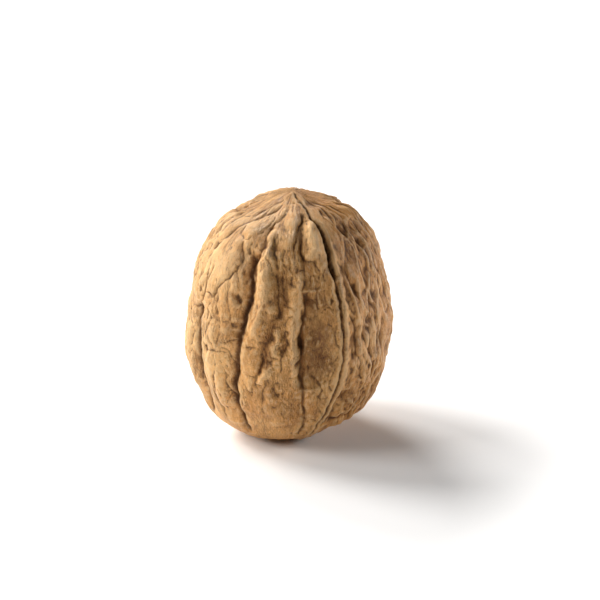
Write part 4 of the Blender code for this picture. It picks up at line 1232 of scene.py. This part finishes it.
@dataclass(frozen=True)
class ShellFinish:
    """The mottled matt finish of the shell, with painted shade in its creases and hollows and painted light on
    its crests.

    Args:
        light: the tan of the smooth pillows.
        middle: the brown of the mottling.
        right_side: the brown of the right half, partly painted shade for the side that the lights reach less.
        hollow: the brown painted as shade into the wide hollows, the pores and the small wrinkles, and the
            colour of the specks.
        stain_and_shade_brown: the brown of the stains, which is also painted shade over the pits, the hollows
            and the dim middle.
        dark: the painted shade, with some dirt, at the bottom of a crease, a fine furrow and the suture's
            crack.
        pale: the worn edges and flecks, and painted light on the lit pillows of the left and on the crests.
        rust: the reddish stains.
        roughness: the roughness of the pillows.
        hollow_roughness: the roughness in the hollows.
        shine: how strongly the surface reflects.
        bump: the strength and the height in millimetres of the finest relief.
    """

    light: Colour = (0.73, 0.385, 0.128)
    middle: Colour = (0.55, 0.235, 0.052)
    right_side: Colour = (0.56, 0.235, 0.054)
    hollow: Colour = (0.21, 0.078, 0.016)
    stain_and_shade_brown: Colour = (0.19, 0.080, 0.021)
    dark: Colour = (0.062, 0.024, 0.007)
    pale: Colour = (0.79, 0.530, 0.265)
    rust: Colour = (0.27, 0.100, 0.032)
    roughness: float = 0.42
    hollow_roughness: float = 0.78
    shine: float = 0.38
    bump: tuple[float, float] = (0.85, 0.5)

    def grain_group(self) -> bpy.types.NodeTree:
        """Builds the shared group that gives patterns along the shell's grain.

        Returns:
            The group, with mottling, fibres, flecks, specks, rust, wrinkles and relief as its outputs.
        """
        group = bpy.data.node_groups.new("shell_grain", "ShaderNodeTree")
        group.interface.new_socket("Grain", in_out="INPUT", socket_type="NodeSocketVector")
        for name in ("Mottling", "Fibres", "Flecks", "Specks", "Rust", "Wrinkles", "Relief"):
            group.interface.new_socket(name, in_out="OUTPUT", socket_type="NodeSocketFloat")
        build = NodeTree(group)
        grain = build.add("NodeGroupInput").outputs["Grain"]

        def pattern(across: float, along: float, detail: float, rough: float, bend: float) -> Socket:
            """A noise along the grain.

            Args:
                across: its scale round the nut, per millimetre.
                along: its scale along the nut.
                detail: how many finer layers it has.
                rough: how strong they are.
                bend: how far it is distorted.

            Returns:
                Its value.
            """
            node = build.add(
                "ShaderNodeTexNoise", Vector=build.scaled(grain, (across, across, along)), Scale=1.0,
                Detail=detail, Roughness=rough, Distortion=bend,
            )
            return node.outputs[0]

        broad = pattern(0.22, 0.16, 5.0, 0.62, 0.8)
        fibres = pattern(1.6, 0.90, 5.0, 0.68, 0.9)
        fine = pattern(3.6, 1.6, 3.0, 0.7, 0.2)
        specks = pattern(3.1, 2.1, 3.0, 0.72, 0.3)
        fleck_places = build.remap(pattern(0.6, 0.4, 2.0, 0.5, 0.3), 0.46, 0.62)
        rust = build.remap(pattern(1.4, 0.9, 3.0, 0.6, 0.4), 0.58, 0.70)
        rust_places = build.remap(pattern(0.33, 0.25, 1.0, 0.5, 0.3), 0.47, 0.64)
        wrinkle_places = build.remap(pattern(0.30, 0.20, 2.0, 0.5, 0.3), 0.42, 0.62, 0.10, 1.0)
        lines = []
        for across, along, width in ((0.95, 0.24, 0.034), (1.5, 0.55, 0.028)):
            away = build.math("ABSOLUTE", build.math("SUBTRACT", pattern(across, along, 3.0, 0.55, 0.5), 0.5))
            lines.append(build.remap(away, width, 0.0))
        wrinkles = build.times(build.math("MAXIMUM", *lines), wrinkle_places)
        relief = build.math("ADD", build.times(fibres, 0.6), build.times(fine, 0.4))
        relief = build.math("SUBTRACT", relief, build.times(wrinkles, 0.30))
        build.add(
            "NodeGroupOutput",
            Mottling=build.remap(broad, 0.34, 0.68),
            Fibres=build.remap(fibres, 0.30, 0.72),
            Flecks=build.times(build.remap(fine, 0.60, 0.74), fleck_places),
            Specks=build.times(build.remap(specks, 0.44, 0.31), build.remap(broad, 0.38, 0.60)),
            Rust=build.times(rust, rust_places),
            Wrinkles=wrinkles,
            Relief=build.math("ADD", relief, build.times(specks, 0.4)),
        )
        return group

    def build(self) -> bpy.types.Material:
        """Builds the finish.

        Returns:
            The material.
        """
        material = bpy.data.materials.new("walnut_shell")
        material.use_nodes = True
        tree = material.node_tree
        build = NodeTree(tree)
        surface = tree.nodes["Principled BSDF"]
        pattern = tree.nodes.new("ShaderNodeGroup")
        pattern.node_tree = self.grain_group()
        grain = build.add("ShaderNodeAttribute", {"attribute_name": "grain"}).outputs["Vector"]
        build.feed(pattern.inputs["Grain"], grain)
        seen = pattern.outputs
        crease, stain_and_shade, pore, worn_and_lit, half, fine, wide = (
            build.add("ShaderNodeAttribute", {"attribute_name": name}).outputs["Fac"]
            for name in ("crease", "stain_and_shade", "pore", "worn_and_lit", "right_half", "fine_bend", "wide_bend")
        )

        def fibred(start: float, end: float) -> Socket:
            """A strength that goes from start between the fibres to end on them."""
            return build.remap(seen["Fibres"], 0.0, 1.0, start, end)

        def coated(colour: object, coats: Iterable[tuple[object, object, Colour]]) -> Socket:
            """A colour with others laid over it.

            Args:
                colour: the colour.
                coats: where each of the others lies, how strongly, and the other colour.

            Returns:
                The resulting colour.
            """
            for place, strength, tint in coats:
                colour = build.mix(build.times(place, strength), colour, tint)
            return colour

        colour = coated(self.light, (
            (seen["Mottling"], 0.75, self.middle),
            # The right half turns browner, partly as painted shade on the side that the lights reach less.
            (half, 0.55, self.right_side),
            # Paler places, partly wear and partly painted light on the lit left.
            (worn_and_lit, fibred(0.95, 0.5), self.pale),
        ))
        streak = fibred(0.88, 1.08)
        grey = build.add("ShaderNodeCombineColor", Red=streak, Green=streak, Blue=streak).outputs[0]
        # Wide hollows get the hollow brown as painted shade, and a rougher finish.
        sunk = build.remap(wide, 0.05, -0.75)
        # Crests are made paler, partly as painted highlight, and glossier.
        raised = build.times(build.remap(fine, 0.15, 0.95), 0.45)
        # Fine furrows, creases and the suture's crack get the dark colour: painted shade, with some dirt.
        furrow = build.remap(fine, -0.12, -0.95, 0.0, 0.8)
        cut = build.math("MAXIMUM", furrow, build.remap(crease, 0.24, 0.80, 0.0, 0.88))
        colour = coated(build.mix(1.0, colour, grey, "MULTIPLY"), (
            (sunk, 0.8, self.hollow),
            (seen["Rust"], 0.55, self.rust),
            # Stains, partly painted shade over the pits, the hollows and the dim middle.
            (stain_and_shade, fibred(1.0, 0.45), self.stain_and_shade_brown),
            (raised, 1.0, self.pale),
            (seen["Flecks"], 0.65, self.pale),
            (seen["Specks"], 0.55, self.hollow),
            # Pores and small wrinkles get the hollow brown too, as painted shade.
            (pore, 0.55, self.hollow),
            (seen["Wrinkles"], 0.48, self.hollow),
            (cut, fibred(1.0, 0.6), self.dark),
        ))
        build.feed(surface.inputs["Base Color"], colour)
        rough = build.math("ADD", build.times(sunk, self.hollow_roughness - self.roughness), self.roughness)
        rough = build.math("ADD", rough, build.times(seen["Fibres"], 0.10))
        rough = build.math("SUBTRACT", rough, build.times(raised, 0.25), clamp=True)
        build.feed(surface.inputs["Roughness"], rough)
        surface.inputs["IOR"].default_value = 1.45
        surface.inputs["Specular IOR Level"].default_value = self.shine
        bump = build.add("ShaderNodeBump", Height=seen["Relief"])
        bump.inputs["Strength"].default_value = self.bump[0]
        bump.inputs["Distance"].default_value = self.bump[1] * METRES
        build.feed(surface.inputs["Normal"], bump.outputs["Normal"])
        return material


@dataclass
class Walnut:
    """The nut: one closed shell.

    Args:
        body: the plain body.
        skin: the node tree of its fine relief.
        finish: its finish.
        divisions: how often the ball is divided.
        most_triangles: how many triangles are left before the flat is cut.
    """

    body: ShellBody = field(default_factory=ShellBody)
    skin: SkinNodes = field(default_factory=SkinNodes)
    finish: ShellFinish = field(default_factory=ShellFinish)
    divisions: int = 8
    most_triangles: int = 196000

    def ball(self) -> tuple[bpy.types.Mesh, np.ndarray]:
        """The ball of small triangles that the shell is made from.

        Returns:
            The mesh, and the unit directions of its vertices.
        """
        form = bmesh.new()
        bmesh.ops.create_icosphere(form, subdivisions=self.divisions, radius=1.0)
        mesh = bpy.data.meshes.new("ball")
        form.to_mesh(mesh)
        form.free()
        directions = read_rows(mesh, "co")
        return mesh, directions / np.linalg.norm(directions, axis=1)[:, None]

    def displaced(self) -> bpy.types.Mesh:
        """Moves the ball onto the body and its relief, and keeps what the finish reads.

        Returns:
            The mesh, in metres.
        """
        mesh, directions = self.ball()
        surface = Surface.of(self.body, directions)
        rise, seen = ShellRelief(self.body, surface).build()
        points = self.body.stand(surface.place + rise[:, None] * surface.normal) * METRES
        mesh.vertices.foreach_set("co", points.ravel())
        mesh.update()
        grain = mesh.attributes.new("grain", "FLOAT_VECTOR", "POINT")
        grain.data.foreach_set("vector", surface.grain.astype(np.float32).ravel())
        for name, values in seen.items():
            write_values(mesh, name, values)
        return mesh

    def cut_flat(self, mesh: bpy.types.Mesh) -> None:
        """Cuts the base off level at height 0 and closes it with a flat face.

        Args:
            mesh: the mesh to cut.
        """
        form = bmesh.new()
        form.from_mesh(mesh)
        everything = form.verts[:] + form.edges[:] + form.faces[:]
        cut = bmesh.ops.bisect_plane(
            form, geom=everything, dist=1e-7, plane_co=(0, 0, 0), plane_no=(0, 0, -1), clear_outer=True,
        )
        rim = [part for part in cut["geom_cut"] if isinstance(part, bmesh.types.BMEdge)]
        closing = bmesh.ops.contextual_create(form, geom=rim)["faces"]
        for face in form.faces:
            face.smooth = True
        for face in bmesh.ops.triangulate(form, faces=closing)["faces"]:
            face.smooth = False
        bmesh.ops.recalc_face_normals(form, faces=form.faces[:])
        form.to_mesh(mesh)
        form.free()
        mesh.update()

    def thin(self, carrier: bpy.types.Object) -> bpy.types.Mesh:
        """Takes triangles out of the flatter stretches.

        Args:
            carrier: the object, which loses the modifier again.

        Returns:
            The thinned mesh.
        """
        thinning = carrier.modifiers.new("thinning", "DECIMATE")
        thinning.ratio = min(1.0, self.most_triangles / len(carrier.data.polygons))
        return taken_off(carrier, thinning)

    def build(self) -> bpy.types.Object:
        """Builds the nut as one piece.

        Returns:
            The piece.
        """
        material = self.finish.build()
        nut = bpy.data.objects.new("walnut_shell", self.displaced())
        bpy.context.scene.collection.objects.link(nut)
        nut.data = self.skin.apply(nut, material)
        write_bends(nut.data)
        nut.data = self.thin(nut)
        self.cut_flat(nut.data)
        nut.data.materials.clear()
        nut.data.materials.append(material)
        return nut


def taken_off(carrier: bpy.types.Object, modifier: bpy.types.Modifier) -> bpy.types.Mesh:
    """The mesh that a modifier gives, with the modifier then removed.

    Args:
        carrier: the object that has the modifier.
        modifier: the modifier.

    Returns:
        The plain mesh.
    """
    graph = bpy.context.evaluated_depsgraph_get()
    mesh = bpy.data.meshes.new_from_object(carrier.evaluated_get(graph))
    carrier.modifiers.remove(modifier)
    return mesh


def read_rows(mesh: bpy.types.Mesh, name: str) -> np.ndarray:
    """Three values of every vertex of a mesh.

    Args:
        mesh: the mesh.
        name: co for where it is, or normal.

    Returns:
        A row for each vertex.
    """
    rows = np.empty(len(mesh.vertices) * 3, np.float32)
    mesh.vertices.foreach_get(name, rows)
    return rows.reshape(-1, 3).astype(float)


def write_values(mesh: bpy.types.Mesh, name: str, values: np.ndarray) -> None:
    """Keeps one number for each vertex as an attribute of the mesh."""
    kept = mesh.attributes.get(name) or mesh.attributes.new(name, "FLOAT", "POINT")
    kept.data.foreach_set("value", np.asarray(values, np.float32))


def write_bends(mesh: bpy.types.Mesh) -> None:
    """Keeps how the surface bends at each vertex, finely and widely: above 0 on a ridge, below 0 in a furrow.

    Args:
        mesh: the mesh.
    """
    points, normals = read_rows(mesh, "co"), read_rows(mesh, "normal")
    ends = np.empty(len(mesh.edges) * 2, np.int32)
    mesh.edges.foreach_get("vertices", ends)
    first, second = ends.reshape(-1, 2).T
    count = np.bincount(first, minlength=len(points)) + np.bincount(second, minlength=len(points))

    def softened(values: np.ndarray, times: int) -> np.ndarray:
        """Each vertex moved half way to the middle of its neighbours, again and again.

        Args:
            values: rows of three values.
            times: how often.

        Returns:
            The softened rows.
        """
        for _ in range(times):
            total = np.stack([
                np.bincount(first, values[second, axis], len(values))
                + np.bincount(second, values[first, axis], len(values))
                for axis in range(3)
            ], -1)
            values = 0.5 * values + 0.5 * total / count[:, None]
        return values

    close = softened(points, CLOSE_ROUNDS)
    far = softened(close, FAR_ROUNDS)
    for name, soft, base, full in (
        ("fine_bend", close, points, FULL_FINE_BEND), ("wide_bend", far, close, FULL_WIDE_BEND),
    ):
        bend = ((base - soft) * normals).sum(axis=1) / (full * METRES)
        write_values(mesh, name, np.clip(bend, -1, 1))


class LightKind(Enum):
    """What kind of light it is."""

    SUN = "SUN"
    SQUARE = "AREA"


@dataclass(frozen=True)
class Light:
    """A soft light that points at the nut.

    Args:
        name: what it is called.
        kind: a sun, or a square light.
        azimuth: degrees round from the camera's side, positive to the right.
        elevation: degrees above the floor.
        size: a sun's width in degrees, or a square light's side in millimetres.
        power: a sun's strength, or a square light's watts.
        colour: its colour.
        distance: how far a square light is from the nut's middle.
    """

    name: str
    kind: LightKind
    azimuth: float
    elevation: float
    size: float
    power: float
    colour: Colour
    distance: float = 480.0

    def build(self, aim: Vector) -> bpy.types.Object:
        """Hangs the light.

        Args:
            aim: what it points at, in metres.

        Returns:
            The light.
        """
        data = bpy.data.lights.new(self.name, self.kind.value)
        if self.kind is LightKind.SUN:
            data.angle = math.radians(self.size)
        else:
            data.shape = "SQUARE"
            data.size = self.size * METRES
        data.energy = self.power
        data.color = self.colour
        turn, up = math.radians(self.azimuth), math.radians(self.elevation)
        away = Vector((math.sin(turn) * math.cos(up), -math.cos(turn) * math.cos(up), math.sin(up)))
        light = bpy.data.objects.new(self.name, data)
        light.location = aim + away * self.distance * METRES
        light.rotation_mode = "QUATERNION"
        light.rotation_quaternion = (-away).to_track_quat("-Z", "Y")
        bpy.context.scene.collection.objects.link(light)
        return light


@dataclass(frozen=True)
class Studio:
    """The white floor, the lights and the camera.

    Args:
        body: the nut's plain body, which the camera aims by.
        elevation: the camera's height over the horizon, in degrees.
        lens: the camera's lens.
        camera_distance: millimetres from the camera to what it aims at.
        aim: how far right of and above the widest ring's middle the camera aims.
        floor_size: the floor's side.
        floor_colour: its colour.
        surround: the light of the surroundings.
        lights: two suns that throw the shadow, darkest where both are hidden, and two lights that fill in.
    """

    body: ShellBody = field(default_factory=ShellBody)
    elevation: float = 20.0
    lens: float = 100.0
    camera_distance: float = 279.1
    aim: tuple[float, float] = (1.926, 3.45)
    floor_size: float = 6000.0
    floor_colour: Colour = (0.96, 0.96, 0.965)
    surround: float = 0.035
    lights: tuple[Light, ...] = (
        Light("key_behind", LightKind.SUN, -150, 35, 24, 2.7, (1.0, 0.985, 0.96)),
        Light("key_beside", LightKind.SUN, -116, 39, 24, 2.7, (1.0, 0.985, 0.96)),
        Light("front", LightKind.SQUARE, -78, 28, 200, 1.55, (1.0, 0.99, 0.97)),
        Light("right", LightKind.SQUARE, 108, 12, 180, 1.40, (1.0, 1.0, 1.0)),
    )

    def middle(self) -> Vector:
        """The middle of the nut's widest ring, in metres."""
        return Vector((*self.body.shift, self.body.widest_at - self.body.flat_at)) * METRES

    def floor(self) -> bpy.types.Object:
        """Lays the floor.

        Returns:
            The floor.
        """
        form = bmesh.new()
        bmesh.ops.create_grid(form, x_segments=1, y_segments=1, size=self.floor_size / 2 * METRES)
        mesh = bpy.data.meshes.new("floor")
        form.to_mesh(mesh)
        form.free()
        material = bpy.data.materials.new("white_floor")
        material.use_nodes = True
        surface = material.node_tree.nodes["Principled BSDF"]
        surface.inputs["Base Color"].default_value = (*self.floor_colour, 1.0)
        surface.inputs["Roughness"].default_value = 0.9
        surface.inputs["Specular IOR Level"].default_value = 0.1
        mesh.materials.append(material)
        floor = bpy.data.objects.new("floor", mesh)
        bpy.context.scene.collection.objects.link(floor)
        return floor

    def camera(self) -> bpy.types.Object:
        """Sets up the camera at the photograph's angle.

        Returns:
            The camera.
        """
        up_angle = math.radians(self.elevation)
        back = Vector((0, -math.cos(up_angle), math.sin(up_angle)))
        upward = Vector((0, math.sin(up_angle), math.cos(up_angle)))
        aim = self.middle() + (Vector((1, 0, 0)) * self.aim[0] + upward * self.aim[1]) * METRES
        data = bpy.data.cameras.new("camera")
        data.lens = self.lens
        data.clip_start, data.clip_end = 0.01, 20.0
        camera = bpy.data.objects.new("camera", data)
        camera.location = aim + back * self.camera_distance * METRES
        camera.rotation_mode = "QUATERNION"
        camera.rotation_quaternion = (-back).to_track_quat("-Z", "Y")
        bpy.context.scene.collection.objects.link(camera)
        return camera

    def build(self) -> None:
        """Lays the floor, hangs the lights, and sets the surroundings and the camera."""
        self.floor()
        for light in self.lights:
            light.build(self.middle())
        world = bpy.data.worlds.new("studio")
        world.use_nodes = True
        shade = world.node_tree.nodes["Background"]
        shade.inputs["Color"].default_value = (1.0, 1.0, 1.0, 1.0)
        shade.inputs["Strength"].default_value = self.surround
        bpy.context.scene.world = world
        bpy.context.scene.view_settings.view_transform = "Standard"
        bpy.context.scene.camera = self.camera()


def main() -> None:
    """Loads the frame, builds the nut, puts it under the root body, hides the imported part, and builds the
    studio.
    """
    logging.basicConfig(level=logging.INFO, format="%(name)s: %(message)s")
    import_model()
    noise.seed_set(11)
    nut = Walnut().build()
    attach(nut, "root")
    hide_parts("walnut")
    LOG.info("%s: %d triangles", nut.name, len(nut.data.polygons))
    Studio().build()


if __name__ == "__main__":
    main()
